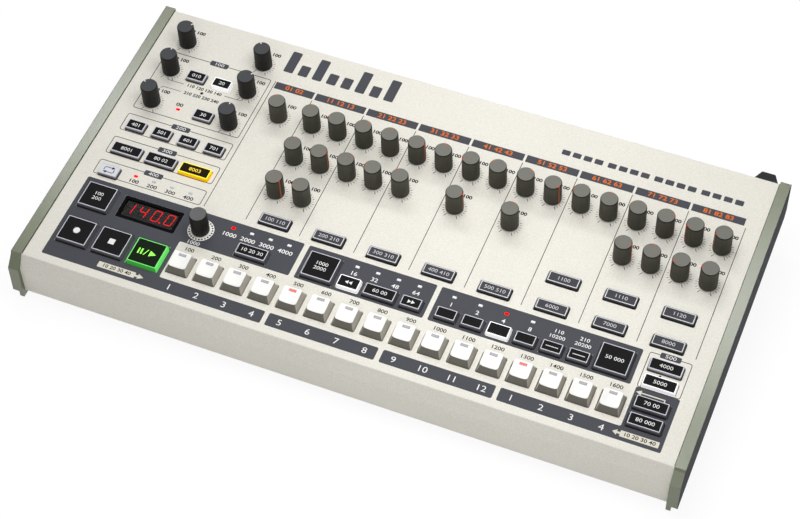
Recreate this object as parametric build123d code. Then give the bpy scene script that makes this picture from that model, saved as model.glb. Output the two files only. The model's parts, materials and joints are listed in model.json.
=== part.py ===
"""Table-top drum machine: sloping control panel between two end cheeks, on a low base tray.

Units are millimetres.  +X runs to the right, +Y to the rear and +Z up.  The origin lies on the
table, under the middle of the machine.  Everything on the panel is placed in the panel's own
frame: u across from its left edge, v up the slope from its front fold, n off its surface.
"""
from build123d import *
import os
from math import cos, radians, sin

# ------------------------------------------------------------------ driving dimensions
WIDTH = 497.0            # over the two cheeks
CHEEK = 8.0              # thickness of a cheek
PANEL_WIDTH = WIDTH - 2 * CHEEK
PANEL_DEPTH = 248.3      # along the slope
SLOPE = 4.75             # of the panel to the table, degrees
FOLD_Y = -124.5          # the panel's front fold
FOLD_Z = 41.7
WALL = 2.0               # thickness of every wall and sheet
CASE_DEPTH = 35.4        # from the panel's surface down to the case's underside
BEVEL = (-6.1, -10.7)    # front face's nose, as (v, n)
FRONT_FOOT = (-7.2, -CASE_DEPTH)
BEND = 1.2               # outer radius of the case's front folds
FLANGE = 12.0            # the turned-in edge under the case

PROUD = 0.8              # the cheeks stand this far above the panel
CHEEK_NOSE = (-8.8, -9.4)
CHEEK_FOOT_V = -10.4
CHEEK_DEPTH = 33.6       # outer half of a cheek
LIP_DEPTH = 39.0         # inner lip of a cheek
LIP_WIDTH = 3.4
CHEEK_REAR = 250.2
CHEEK_CORNER = 4.5       # cut corner at a cheek's lower rear end
CHEEK_HOLE = 5.0         # depth of its screw holes

TRAY_SIDE = 6.0          # base tray's walls, in from the case's sides, front fold and rear edge
TRAY_FRONT = 14.0
TRAY_REAR = 8.0
TRAY_BOTTOM = 3.0        # above the table
FOOT_RADIUS = 8.0
FOOT_RECESS = 1.0        # how far a foot sits in the tray's floor
FOOT_EDGE = 0.8          # step round a foot's lower edge

# Columns of the instrument section
LEFT_DIVIDER = 103.0
FIRST_COLUMN = 136.0
COLUMN = 41.65
COLUMNS = ("bass", "snare", "low", "mid", "high", "rim", "hat", "cymbal")
KNOB_STEP = 10.3         # a knob's distance from its column's middle
KNOB_ROWS = (178.6, 146.1, 113.4)

# Knobs, shafts and the controls under them
KNOB_TOP = 19.5
KNOB_GAP = 1.0           # between a knob and the panel
KNOB_RADIUS = 6.65       # at its foot
KNOB_TIP_RADIUS = 6.4
KNOB_FLUTES = 18
FLUTE_RADIUS = 0.7
FLUTE_DEPTH = 0.25
POINTER_WIDTH = 1.3
POINTER_LENGTH = 2.2
SHAFT_RADIUS = 3.0
SHAFT_FLAT = 1.6         # from the axis to the flat
SHAFT_FIT = 0.05
SHAFT_SEAT = 13.0        # n of the blind end of a knob's bore
SHAFT_END = -11.4
RUN_GAP = 0.6            # between anything that moves and anything that doesn't
WALL_GAP = 0.2           # round every socket in the rear wall

BOARD_TOP = -13.2
BOARD = 1.6
POT_SIZE = (11.0, 12.0)
POT_TOP = -6.6
BUSH_TOP = -2.6
BUSH_RADIUS = 4.6
SWITCH_SIZE = 6.4
SWITCH_TOP = -9.2
STEM_RADIUS = 1.6
STEM_END = -10.0
SOCKET_FLOOR = 0.6       # left above the board, under every moving stem

# Buttons: width and depth at the panel, how far the sides draw in, height
BUTTON_CORNER = 0.7
BUTTON_SEAT = 1.0        # n of the blind end of a button's stem
RIM = 1.2                # hidden rim that keeps a button in its hole
SMALL = (14.6, 9.0, 0.2, 2.9)
MODE = (23.4, 9.5, 0.2, 2.9)
LOOP = (14.8, 9.4, 0.3, 3.0)
TRACK = (23.4, 9.8, 0.3, 3.0)
VOICE = (23.2, 9.6, 0.5, 2.2)
LONG = (24.4, 11.0, 0.85, 3.0)
STEP_SIZE = (16.0, 10.2, 0.85, 3.0)
SQUARE = (24.3, 22.7, 0.85, 3.0)

# Step keys
KEYS = 16
KEY_PITCH = 21.12
KEY_FIRST = 110.2        # middle of the first key
KEY_V = 31.0
KEY_FOOT = (16.3, 16.6)
KEY_TOP = (13.2, 12.8)
KEY_TOP_SHIFT = 0.5      # the top sits behind the foot's middle
KEY_HEIGHT = 6.9
KEY_TILT = 4.6           # degrees, its top falls to the front
KEY_SKIRT = -3.5         # n of the skirt's lower edge
KEY_SWITCH = 12.0

LAMP_SIZE = (2.8, 1.7)
LAMP_TOP = 0.5
LAMP_BASE = 2.4          # radius of the spacer that carries a lamp
LAMP_BASE_TOP = -5.0

DISPLAY = (69.6, 63.8)
DISPLAY_SIZE = (46.6, 19.8)
DISPLAY_FRAME = 2.6      # width of the surround that lines the opening
MODULE_TOP = -3.2
WINDOW_TOP = -1.2
FIT_GAP = 0.15           # between pieces that fit into each other

# Rear wall: sockets along it, at one height
SOCKET_N = -24.0
JACKS = 12
JACK_FIRST = 24.0
JACK_PITCH = 21.0
JACK_BORE = 3.25
JACK_NOSE = 4.6
JACK_BODY = (15.0, 17.0)
JACK_LENGTH = 26.0       # behind the wall's outer face
JACK_REACH = 3.4         # behind the machine
NUT = (6.6, 2.0)         # radius over its corners, thickness
DIN_PLACES = (294.0, 320.0, 346.0)
DIN_BODY = (18.0, 17.0)
DIN_LENGTH = 14.0
DIN_SHELL = 7.8
DIN_BORE = 6.8
DIN_CORE = 5.7
DIN_CUP = -9.0           # floor of the ring between core and shell
MINI_PLACES = (368.0, 382.0)
MINI_BODY = 9.0
MINI_LENGTH = 12.0
MINI_NOSE = 3.0
MINI_BORE = 1.8
USB_PLACE = 402.0
USB_SIZE = (12.0, 11.0)
USB_MOUTH = (8.6, 7.9)
USB_TONGUE = (5.6, 3.0)
USB_LENGTH = 16.0
ROCKER_PLACE = 426.0
ROCKER_SIZE = (12.0, 15.0)
ROCKER_REST = 8.0        # degrees that the rocker leans at either end
ROCKER_PIVOT = -2.0      # its pin, in front of the wall's outer face
ROCKER_FRAME = 3.0       # what the frame adds to the rocker's size, inside the wall
ROCKER_COLLAR = 5.0      # and outside it
INLET_PLACE = 448.0
INLET_BODY = 11.0
INLET_NOSE = 4.4
INLET_BORE = 3.1

HOOK_PLACE = 470.7
HOOK_FOOT = 18.7         # width where it meets the rear wall
HOOK_TIP = 9.8           # width at its rear end
HOOK_REACH = 8.45
HOOK_THICK = 2.6
HOOK_TOP = -1.6
HOOK_BACK = 16.0         # height of the plate on the wall
HOOK_LIP = (2.4, 12.0)   # thickness and height of the turned-down end

SCREW_HOLE = 1.6
SCREW_SHANK = (1.5, 4.4) # radius, length
SCREW_HEAD = (2.8, 2.0)

PANEL = Plane(origin=(-PANEL_WIDTH / 2, FOLD_Y, FOLD_Z), x_dir=(1, 0, 0),
              z_dir=(0, -sin(radians(SLOPE)), cos(radians(SLOPE))))

os.makedirs("parts", exist_ok=True)


def save(name, *pieces, frame=PANEL.location):
    """Write one node: every solid of the given pieces, moved from their frame to the row's."""
    solids = [solid for piece in pieces for solid in piece.solids()]
    export_step(Compound(children=[frame * solid for solid in solids]), f"parts/{name}.step")


def slab(width, depth, low, high, corner=0.0):
    """Upright block between two heights, centred on its own axis."""
    outline = RectangleRounded(width, depth, corner) if corner else Rectangle(width, depth)
    return Pos(0, 0, low) * extrude(outline, amount=high - low)


def rod(radius, low, high):
    """Upright cylinder between two heights."""
    return Pos(0, 0, (low + high) / 2) * Cylinder(radius, high - low)


def carry(outline, start, stop):
    """Face drawn in (v, n), carried across the machine from u = start to u = stop."""
    section = Plane(origin=(start, 0, 0), x_dir=(0, 1, 0), z_dir=(1, 0, 0))
    return extrude(section * outline, amount=stop - start)


def prism(points, start, stop):
    """Polygon in (v, n) carried across the machine from u = start to u = stop."""
    return carry(make_face(Polyline(*points, close=True)), start, stop)


# ------------------------------------------------------------------ layout
def column_middle(index):
    return FIRST_COLUMN + COLUMN * (index + 0.5)


def knob_places():
    """Every knob: name -> (u, v, pointer's angle clockwise from straight up the panel)."""
    places = {"knob_accent": ((LEFT_DIVIDER + FIRST_COLUMN) / 2, KNOB_ROWS[0], -29)}
    angles = {
        "bass": ((-5, -93), (-5, 93), (119, -118)),
        "snare": ((30, 2), (42, -85)),
        "low": ((95, 2), (-30,)),
        "mid": ((-121, -56), (90,)),
        "high": ((31, 119), (4,)),
        "rim": ((-91, 2),),
        "hat": ((-60, 61), (95, 0)),
        "cymbal": ((-122, -121), (-117, -94)),
    }
    for index, column in enumerate(COLUMNS):
        count = 0
        for row, turns in zip(KNOB_ROWS, angles[column]):
            for side, turn in zip((-1, 1), turns):
                count += 1
                u = column_middle(index) + side * KNOB_STEP
                places[f"knob_{column}_{count}"] = (u, row, turn)
    rows = (221.4, 192.1, 159.0)
    for side, u, turns in (("left", 24.6, (48, 2, -59)), ("right", 88.0, (-30, 44, 4))):
        for count, (row, turn) in enumerate(zip(rows, turns), start=1):
            places[f"knob_{side}_{count}"] = (u, row, turn)
    places["knob_data"] = (110.1, 63.8, None)
    return places


def button_banks():
    """Every button: bank -> list of (u, v, form)."""
    top_row, low_row = 113.4, 88.9
    voices = [(column_middle(index), low_row, VOICE) for index in range(8)]
    voices += [(column_middle(index), top_row, VOICE) for index in (5, 6, 7)]
    squares = [(28.5 + 27.95 * index, 30.8, SQUARE) for index in range(3)]
    squares += [(28.5, 63.6, SQUARE), (203.4, 63.6, SQUARE), (418.6, 63.6, SQUARE)]
    functions = [(45.9, 192.0, SMALL), (66.9, 192.0, SMALL), (66.9, 159.2, SMALL)]
    functions += [(24.6 + 21.2 * index, 133.0, SMALL) for index in range(4)]
    functions += [(28.7 + 27.6 * index, 109.8, MODE) for index in range(3)]
    functions += [(25.2, 88.0, LOOP)]
    patterns = [(153.0, 57.9, LONG), (250.2, 57.9, LONG)]
    patterns += [(u, 57.9, STEP_SIZE) for u in (227.0, 273.6)]
    patterns += [(299.5 + 19.15 * index, 57.7, STEP_SIZE) for index in range(6)]
    patterns += [(453.0, 69.6, TRACK), (453.0, 55.8, TRACK), (453.0, 37.7, LONG), (453.0, 23.7, LONG)]
    return {"voice_buttons": voices, "square_buttons": squares,
            "function_buttons": functions, "pattern_buttons": patterns}


def key_places():
    return [(KEY_FIRST + KEY_PITCH * index, KEY_V) for index in range(KEYS)]


def lamp_places():
    lamps = [(45.8, 159.4)]
    lamps += [(44.9 + 14.6 * index, 91.4) for index in range(4)]
    lamps += [(131.2 + 14.5 * index, 73.9) for index in range(4)]
    lamps += [(226.9 + 15.6 * index, 73.9) for index in range(4)]
    lamps += [(299.5 + 19.15 * index, 73.9) for index in range(4)]
    return lamps


# ------------------------------------------------------------------ housing
def top_case():
    """Painted panel folded down at the front, with end walls and a turned-in lower edge."""
    outline = make_face(Polyline((PANEL_DEPTH, 0), (0, 0), BEVEL, FRONT_FOOT,
                                 (PANEL_DEPTH, -CASE_DEPTH), close=True))
    inside = offset(outline, amount=-WALL, kind=Kind.INTERSECTION)
    folds = outline.vertices().sort_by(Axis.X)[:3]
    case = carry(fillet(folds, BEND), 0, PANEL_WIDTH) - carry(inside, WALL, PANEL_WIDTH - WALL)
    flange_end = FRONT_FOOT[0] + FLANGE
    case -= Pos(PANEL_WIDTH / 2, flange_end + PANEL_DEPTH / 2, -CASE_DEPTH) * Box(
        PANEL_WIDTH - 2 * FLANGE, PANEL_DEPTH, 3 * WALL)
    case -= Pos(PANEL_WIDTH / 2, PANEL_DEPTH, -WALL - CASE_DEPTH / 2) * Box(
        PANEL_WIDTH + 2, 2 * WALL, CASE_DEPTH)
    case -= [Pos(u, v, 0) * rod(SHAFT_RADIUS + RUN_GAP, -2 * WALL, WALL)
             for u, v, _ in knob_places().values()]
    for bank in button_banks().values():
        case -= [Pos(u, v, 0) * slab(width + 2 * RUN_GAP, depth + 2 * RUN_GAP, -2 * WALL, WALL,
                                     BUTTON_CORNER + RUN_GAP) for u, v, (width, depth, *_) in bank]
    opening = [side + 2 * RUN_GAP for side in KEY_FOOT]
    case -= [Pos(u, v, 0) * slab(*opening, -2 * WALL, WALL, 1.0) for u, v in key_places()]
    lamp_hole = slab(*[side + 2 * FIT_GAP for side in LAMP_SIZE], -2 * WALL, WALL, 0.4)
    case -= [Pos(u, v, 0) * lamp_hole for u, v in lamp_places()]
    case -= Pos(*DISPLAY, 0) * slab(*DISPLAY_SIZE, -2 * WALL, WALL, 0.8)
    case -= flange_holes()
    case -= [Pos(u, v, n) * Rot(0, 90, 0) * Cylinder(SCREW_HOLE, 4 * WALL)
             for u in (0, PANEL_WIDTH) for v, n in cheek_screws()]
    return case


def cheek(left):
    """End moulding: a thick outer half, and an inner lip that hangs lower."""
    def outline(depth):
        return [(CHEEK_REAR, PROUD), (-0.4, PROUD), (-1.5, -1.6), CHEEK_NOSE,
                (CHEEK_FOOT_V, -depth), (CHEEK_REAR - CHEEK_CORNER, -depth),
                (CHEEK_REAR, -depth + CHEEK_CORNER)]
    body = prism(outline(CHEEK_DEPTH), 0, CHEEK)
    body += prism(outline(LIP_DEPTH), 0, LIP_WIDTH)
    body -= [Pos(0, v, n) * Rot(0, 90, 0) * Cylinder(SCREW_HOLE, 2 * CHEEK_HOLE)
             for v, n in cheek_screws()]
    return mirror(body, about=Plane.YZ) if left else Pos(PANEL_WIDTH, 0, 0) * body


def cheek_screws():
    """Where screws from inside the case hold each cheek, as (v, n)."""
    return [(20.0, -24.0), (125.0, -24.0), (228.0, -24.0)]


def flange_screws():
    """Screws that close the case from below, as (u, v)."""
    across = [30.0 + (PANEL_WIDTH - 60.0) / 4 * index for index in range(5)]
    return [(u, v) for u in across for v in (1.2, PANEL_DEPTH - 6.0)]


def flange_holes():
    """What those screws need, through every sheet at the case's underside."""
    return [Pos(u, v, -CASE_DEPTH) * rod(SCREW_HOLE, -2 * WALL, 2 * WALL) for u, v in flange_screws()]


def underside(y, drop=0.0):
    """Height above the table of a plane under the case, at a distance y along the machine."""
    slope = radians(SLOPE)
    return FOLD_Z + ((y - FOLD_Y) * sin(slope) - (CASE_DEPTH + drop)) / cos(slope)


def base_tray():
    """Wedge-shaped pan whose flat floor carries the feet, with a flange under the case."""
    front, rear = FOLD_Y + TRAY_FRONT, FOLD_Y + PANEL_DEPTH - TRAY_REAR
    half = PANEL_WIDTH / 2 - TRAY_SIDE

    def wedge(inset, floor, lift):
        points = [(front + inset, floor), (rear - inset, floor),
                  (rear - inset, underside(rear) + lift), (front + inset, underside(front) + lift)]
        section = Plane(origin=(-half + inset, 0, 0), x_dir=(0, 1, 0), z_dir=(1, 0, 0))
        return extrude(section * make_face(Polyline(*points, close=True)),
                       amount=2 * (half - inset))
    rim_v = (-2.0, PANEL_DEPTH - 2.3)
    rim = Pos(PANEL_WIDTH / 2, sum(rim_v) / 2, -CASE_DEPTH - WALL / 2) * Box(
        PANEL_WIDTH - 1.0, rim_v[1] - rim_v[0], WALL)
    tray = wedge(0, TRAY_BOTTOM, 0) + PANEL.location * rim
    tray -= wedge(WALL, TRAY_BOTTOM + WALL, 4 * WALL)
    tray -= [PANEL.location * hole for hole in flange_holes()]
    tray -= [Pos(x, y, 0) * rod(FOOT_RADIUS, TRAY_BOTTOM - 1, TRAY_BOTTOM + FOOT_RECESS)
             for x, y in foot_places()]
    return tray


def foot_places():
    return [(x, y) for x in (-212.0, 212.0) for y in (-104.0, 100.0)]


def rubber_feet():
    """Round pads, each seated in a shallow ring of the floor."""
    foot = rod(FOOT_RADIUS - 0.1, FOOT_EDGE, TRAY_BOTTOM + FOOT_RECESS)
    foot += rod(FOOT_RADIUS - 0.1 - FOOT_EDGE, 0, FOOT_EDGE)
    return [Pos(x, y, 0) * foot for x, y in foot_places()]


def case_screws():
    """Pan-head screws: ten up through the tray's flange, three out into each cheek."""
    head, shank = rod(SCREW_HEAD[0], -SCREW_HEAD[1], 0), rod(SCREW_SHANK[0], 0, SCREW_SHANK[1])
    screw = head + shank
    low = [Pos(u, v, -CASE_DEPTH - WALL) * screw for u, v in flange_screws()]
    for v, n in cheek_screws():
        low.append(Pos(WALL, v, n) * Rot(0, -90, 0) * screw)
        low.append(Pos(PANEL_WIDTH - WALL, v, n) * Rot(0, 90, 0) * screw)
    return low


# ------------------------------------------------------------------ rear wall
def through_wall(u, shape):
    """Turn an upright piece so that its axis points out of the rear wall, its foot inside."""
    return Pos(u, PANEL_DEPTH, SOCKET_N) * Rot(-90, 0, 0) * shape


def jack_places():
    return [JACK_FIRST + JACK_PITCH * index for index in range(JACKS)]


def rear_panel():
    """Sheet that closes the rear, with a foot turned in under the case."""
    upright = Box(PANEL_WIDTH - 0.4, WALL, CASE_DEPTH - WALL)
    panel = Pos(PANEL_WIDTH / 2, PANEL_DEPTH - WALL / 2, -(CASE_DEPTH + WALL) / 2) * upright
    foot = Box(PANEL_WIDTH - 2 * FLANGE - 2, FLANGE, WALL)
    panel += Pos(PANEL_WIDTH / 2, PANEL_DEPTH - FLANGE / 2, -CASE_DEPTH + WALL / 2) * foot
    reach = (-2 * WALL, WALL)
    panel -= [through_wall(u, rod(JACK_NOSE + WALL_GAP, *reach)) for u in jack_places()]
    panel -= [through_wall(u, rod(DIN_SHELL + WALL_GAP, *reach)) for u in DIN_PLACES]
    panel -= [through_wall(u, rod(MINI_NOSE + WALL_GAP, *reach)) for u in MINI_PLACES]
    panel -= through_wall(INLET_PLACE, rod(INLET_NOSE + WALL_GAP, *reach))
    panel -= through_wall(USB_PLACE, slab(*[side + 2 * WALL_GAP for side in USB_SIZE], *reach))
    rocker_hole = [side + ROCKER_FRAME + 2 * WALL_GAP for side in ROCKER_SIZE]
    panel -= through_wall(ROCKER_PLACE, slab(*rocker_hole, *reach))
    return panel - flange_holes()


def audio_jacks():
    """Quarter-inch sockets: a body behind the wall, a threaded nose through it and a nut."""
    body = slab(*JACK_BODY, -JACK_LENGTH, -WALL) + rod(JACK_NOSE, -WALL, JACK_REACH)
    body -= rod(JACK_BORE, WALL - JACK_LENGTH, JACK_REACH)
    nut = extrude(RegularPolygon(NUT[0], 6), amount=NUT[1]) - rod(JACK_NOSE, 0, NUT[1])
    return [through_wall(u, piece) for u in jack_places() for piece in (body, nut)]


def round_data_socket():
    """Round socket for a shielded plug: a shell, and a core in its middle."""
    shell = slab(*DIN_BODY, -DIN_LENGTH, -WALL) + rod(DIN_SHELL, -WALL, 0.6)
    return shell - rod(DIN_BORE, DIN_CUP, 1.0) + rod(DIN_CORE, DIN_CUP, -0.6)


def round_socket(body, length, nose, bore, reach):
    """Square body behind the wall, with a bored round nose through it."""
    socket = slab(body, body, -length, -WALL) + rod(nose, -WALL, reach)
    return socket - rod(bore, 1.0 - length, reach)


def square_data_socket():
    """Square shell round a tongue."""
    shell = slab(*USB_SIZE, -USB_LENGTH, 0.6)
    cup = 6.0 - USB_LENGTH
    return shell - slab(*USB_MOUTH, cup, 0.6) + slab(*USB_TONGUE, cup - 1.0, -1.0)


def rocker_frame():
    """Frame of the rocker switch, with a collar on the wall's outer face."""
    def ring(extra, low, high):
        return slab(*[side + extra for side in ROCKER_SIZE], low, high)
    return ring(ROCKER_FRAME, -12.0, 0) + ring(ROCKER_COLLAR, 0, 1.4) - ring(0, -10.5, 1.4)


def power_and_data_sockets():
    """Round data sockets, mini jacks, a square data socket, the inlet and the rocker's frame."""
    mini = round_socket(MINI_BODY, MINI_LENGTH, MINI_NOSE, MINI_BORE, 2.6)
    inlet = round_socket(INLET_BODY, 13.0, INLET_NOSE, INLET_BORE, 0.8) + rod(1.0, -12.5, -0.6)
    pieces = [through_wall(u, round_data_socket()) for u in DIN_PLACES]
    pieces += [through_wall(u, mini) for u in MINI_PLACES]
    pieces.append(through_wall(USB_PLACE, square_data_socket()))
    pieces.append(through_wall(INLET_PLACE, inlet))
    pieces.append(through_wall(ROCKER_PLACE, rocker_frame()))
    return pieces


def power_rocker():
    """Rocker that tips about a level pin: two faces meet in a shallow vee."""
    width, height = ROCKER_SIZE
    half = height / 2 - RUN_GAP - 0.4
    outline = [(-half, 3.2), (0, 1.6), (half, 3.2), (half - 1.2, -3.0), (3.0, -7.0), (-3.0, -7.0),
               (-half + 1.2, -3.0)]
    side = Plane(origin=(-width / 2 + RUN_GAP, 0, 0), x_dir=(0, 1, 0), z_dir=(1, 0, 0))
    rocker = extrude(side * make_face(Polyline(*outline, close=True)), amount=width - 2 * RUN_GAP)
    pivot = Pos(0, 0, ROCKER_PIVOT)
    return through_wall(ROCKER_PLACE, pivot * Rot(ROCKER_REST, 0, 0) * pivot.inverse() * rocker)


def cord_hook():
    """Hook that keeps the supply lead in place: it reaches back from the wall and turns down."""
    outline = Polyline((-HOOK_FOOT / 2, 0), (HOOK_FOOT / 2, 0), (HOOK_TIP / 2, HOOK_REACH),
                       (-HOOK_TIP / 2, HOOK_REACH), close=True)
    arm = extrude(make_face(outline), amount=-HOOK_THICK)
    back = Pos(0, HOOK_THICK / 4, -HOOK_BACK / 2) * Box(HOOK_FOOT, HOOK_THICK / 2, HOOK_BACK)
    thick, tall = HOOK_LIP
    tip = Pos(0, HOOK_REACH - thick / 2, -tall / 2) * Box(HOOK_TIP, thick, tall)
    return Pos(HOOK_PLACE, PANEL_DEPTH, HOOK_TOP) * (arm + back + tip)


# ------------------------------------------------------------------ inside
def control_board():
    """Circuit board under the panel."""
    return Pos(PANEL_WIDTH / 2, 112.0, BOARD_TOP - BOARD / 2) * Box(PANEL_WIDTH - 16, 232.0, BOARD)


def io_board():
    """Circuit board under the sockets, and the flat lead that joins it to the control board."""
    top = SOCKET_N - 8.5
    board = Pos(PANEL_WIDTH / 2, PANEL_DEPTH - FLANGE - 22.0, top - BOARD / 2) * Box(
        PANEL_WIDTH - 40, 42.0, BOARD)
    lead_top = BOARD_TOP - BOARD
    lead = Pos(PANEL_WIDTH / 2, 204.0, (lead_top + top) / 2) * Box(40.0, 1.2, lead_top - top)
    return [board, lead]


def potentiometers():
    """One rotary control under each knob: a body on the board and a bush round the shaft."""
    body = slab(*POT_SIZE, BOARD_TOP, POT_TOP) + rod(BUSH_RADIUS, POT_TOP, BUSH_TOP)
    body -= rod(SHAFT_RADIUS + RUN_GAP, BOARD_TOP + SOCKET_FLOOR, 0)
    return [Pos(u, v, 0) * body for u, v, _ in knob_places().values()]


def button_switches():
    """One push switch under each button and key."""
    def switch(size):
        body = slab(size, size, BOARD_TOP, SWITCH_TOP)
        return body - rod(STEM_RADIUS + RUN_GAP, BOARD_TOP + SOCKET_FLOOR, 0)
    small, large = switch(SWITCH_SIZE), switch(KEY_SWITCH)
    pieces = [Pos(u, v, 0) * small for bank in button_banks().values() for u, v, _ in bank]
    return pieces + [Pos(u, v, 0) * large for u, v in key_places()]


def led_lamps():
    """Oblong indicator lamps, each on a spacer that stands on the board."""
    lamp = slab(*LAMP_SIZE, LAMP_BASE_TOP, LAMP_TOP, 0.3) + rod(LAMP_BASE, BOARD_TOP, LAMP_BASE_TOP)
    return [Pos(u, v, 0) * lamp for u, v in lamp_places()]


def display_module():
    """Four-digit lamp block on the board, with the surround that lines its opening."""
    width, depth = DISPLAY_SIZE
    block = slab(width + 2.0, depth + 2.0, BOARD_TOP, MODULE_TOP)
    block += slab(width - 2 * FIT_GAP, depth - 2 * FIT_GAP, MODULE_TOP, -FIT_GAP, 0.65)
    block -= slab(width - 2 * DISPLAY_FRAME, depth - 2 * DISPLAY_FRAME, MODULE_TOP, 0)
    return Pos(*DISPLAY, 0) * block


def display_window():
    """Smoked window inside the surround, a little below its edge."""
    inset = 2 * (DISPLAY_FRAME + FIT_GAP)
    width, depth = DISPLAY_SIZE
    return Pos(*DISPLAY, 0) * slab(width - inset, depth - inset, MODULE_TOP, WINDOW_TOP)


# ------------------------------------------------------------------ moving pieces
def knob_cap():
    """Fluted cap, slightly narrower at its top, with a blind bore for the shaft."""
    height = KNOB_TOP - KNOB_GAP
    cap = Pos(0, 0, KNOB_GAP + height / 2) * Cone(KNOB_RADIUS, KNOB_TIP_RADIUS, height)
    cap = fillet(cap.edges().group_by(Axis.Z)[-1], 0.6)
    groove = rod(FLUTE_RADIUS, KNOB_GAP - 1, KNOB_TOP - 2.0)
    reach = KNOB_RADIUS - FLUTE_DEPTH + FLUTE_RADIUS
    cap -= [Rot(0, 0, (index + 0.5) * 360 / KNOB_FLUTES) * Pos(0, reach, 0) * groove
            for index in range(KNOB_FLUTES)]
    return cap - rod(SHAFT_RADIUS + SHAFT_FIT, 0, SHAFT_SEAT)


def knob_shaft():
    """Shaft with a flat over its upper end."""
    shaft = rod(SHAFT_RADIUS, SHAFT_END, SHAFT_SEAT)
    cut = Pos(0, SHAFT_FLAT + 2.0, (SHAFT_SEAT + KNOB_GAP) / 2) * Box(8.0, 4.0, SHAFT_SEAT - KNOB_GAP)
    return shaft - cut


def save_knobs():
    cap, shaft = knob_cap(), knob_shaft()
    strip = Pos(0, KNOB_RADIUS - POINTER_LENGTH / 2, KNOB_TOP) * Box(
        POINTER_WIDTH, POINTER_LENGTH, 2 * 1.0)
    pointer, marked = cap & strip, cap - strip
    for name, (u, v, turn) in knob_places().items():
        pieces = [cap, shaft] if turn is None else [marked, pointer, shaft]
        save(name, *[Pos(u, v, 0) * Rot(0, 0, -(turn or 0)) * piece for piece in pieces])


def stem():
    return rod(STEM_RADIUS, STEM_END, BUTTON_SEAT)


def button(width, depth, draw, height):
    """Cap whose sides draw in, with a hidden rim that keeps it in its hole, and a stem."""
    rim_top = -WALL - RUN_GAP
    foot = RectangleRounded(width, depth, BUTTON_CORNER)
    top = Pos(0, 0, height) * RectangleRounded(width - 2 * draw, depth - 2 * draw, BUTTON_CORNER)
    cap = slab(width, depth, rim_top, 0, BUTTON_CORNER) + loft([foot, top])
    cap += slab(width + 2 * RIM, depth + 2 * RIM, rim_top - 1.0, rim_top)
    return cap + stem()


def step_key():
    """Tall keycap: a square skirt, sides that draw in, and a smaller top that tips forward."""
    foot = RectangleRounded(*KEY_FOOT, 0.8)
    top = Pos(0, KEY_TOP_SHIFT, KEY_HEIGHT) * Rot(KEY_TILT, 0, 0) * RectangleRounded(*KEY_TOP, 1.4)
    skirt = Pos(0, 0, KEY_SKIRT) * extrude(foot, amount=-KEY_SKIRT)
    key = skirt + loft([foot, top])
    return key + stem()


def main():
    save("top_case", top_case())
    save("left_cheek", cheek(left=True))
    save("right_cheek", cheek(left=False))
    save("base_tray", base_tray(), frame=Location())
    save("rubber_feet", *rubber_feet(), frame=Location())
    save("case_screws", *case_screws())
    save("rear_panel", rear_panel())
    save("audio_jacks", *audio_jacks())
    save("power_and_data_sockets", *power_and_data_sockets())
    save("cord_hook", cord_hook())
    save("control_board", control_board())
    save("io_board", *io_board())
    save("potentiometers", *potentiometers())
    save("button_switches", *button_switches())
    save("led_lamps", *led_lamps())
    save("display_module", display_module())
    save("display_window", display_window())
    save_knobs()
    for name, bank in button_banks().items():
        save(name, *[Pos(u, v, 0) * button(*form) for u, v, form in bank])
    key = step_key()
    save("step_keys", *[Pos(u, v, 0) * key for u, v in key_places()])
    save("power_rocker", power_rocker())


main()
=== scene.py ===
"""Finishes, printing, controls, lamps, light and camera for a table-top drum machine.

Everything is in metres in the end, with +X to the right, +Y to the rear and +Z up.  Whatever lies
on the sloping panel is laid out in the panel's own frame, in millimetres: u across from the
panel's left edge, v up the slope from its front fold, n off its surface.
"""
import json
from math import atan2, cos, pi, radians, sin

import bmesh
import bpy
from mathutils import Matrix, Vector

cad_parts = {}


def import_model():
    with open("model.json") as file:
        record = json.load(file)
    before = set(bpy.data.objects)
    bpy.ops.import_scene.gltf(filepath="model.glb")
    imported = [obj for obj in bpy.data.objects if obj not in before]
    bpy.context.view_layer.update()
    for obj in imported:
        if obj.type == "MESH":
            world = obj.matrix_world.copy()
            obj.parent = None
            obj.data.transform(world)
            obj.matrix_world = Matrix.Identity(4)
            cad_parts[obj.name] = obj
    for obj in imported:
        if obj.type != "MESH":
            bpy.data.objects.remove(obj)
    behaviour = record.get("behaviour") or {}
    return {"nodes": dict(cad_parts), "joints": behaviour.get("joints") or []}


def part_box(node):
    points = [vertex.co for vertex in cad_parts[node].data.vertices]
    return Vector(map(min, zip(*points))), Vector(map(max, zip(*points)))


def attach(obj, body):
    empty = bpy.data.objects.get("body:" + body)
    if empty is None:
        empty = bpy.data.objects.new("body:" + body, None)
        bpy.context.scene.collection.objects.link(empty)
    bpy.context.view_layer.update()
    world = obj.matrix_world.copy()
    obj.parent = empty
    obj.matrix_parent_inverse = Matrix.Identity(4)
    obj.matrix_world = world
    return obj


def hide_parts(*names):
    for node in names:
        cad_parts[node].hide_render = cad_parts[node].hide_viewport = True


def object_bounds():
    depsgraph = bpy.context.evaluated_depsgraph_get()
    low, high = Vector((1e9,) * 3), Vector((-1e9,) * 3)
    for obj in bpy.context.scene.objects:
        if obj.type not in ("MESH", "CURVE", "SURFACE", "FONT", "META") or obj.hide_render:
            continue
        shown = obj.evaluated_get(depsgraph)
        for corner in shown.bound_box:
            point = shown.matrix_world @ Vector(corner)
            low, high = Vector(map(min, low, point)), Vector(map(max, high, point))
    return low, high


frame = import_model()
cad_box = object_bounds()

MM = 0.001
CREASE = 32.0                     # degrees; sharper edges aren't shaded smooth

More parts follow.
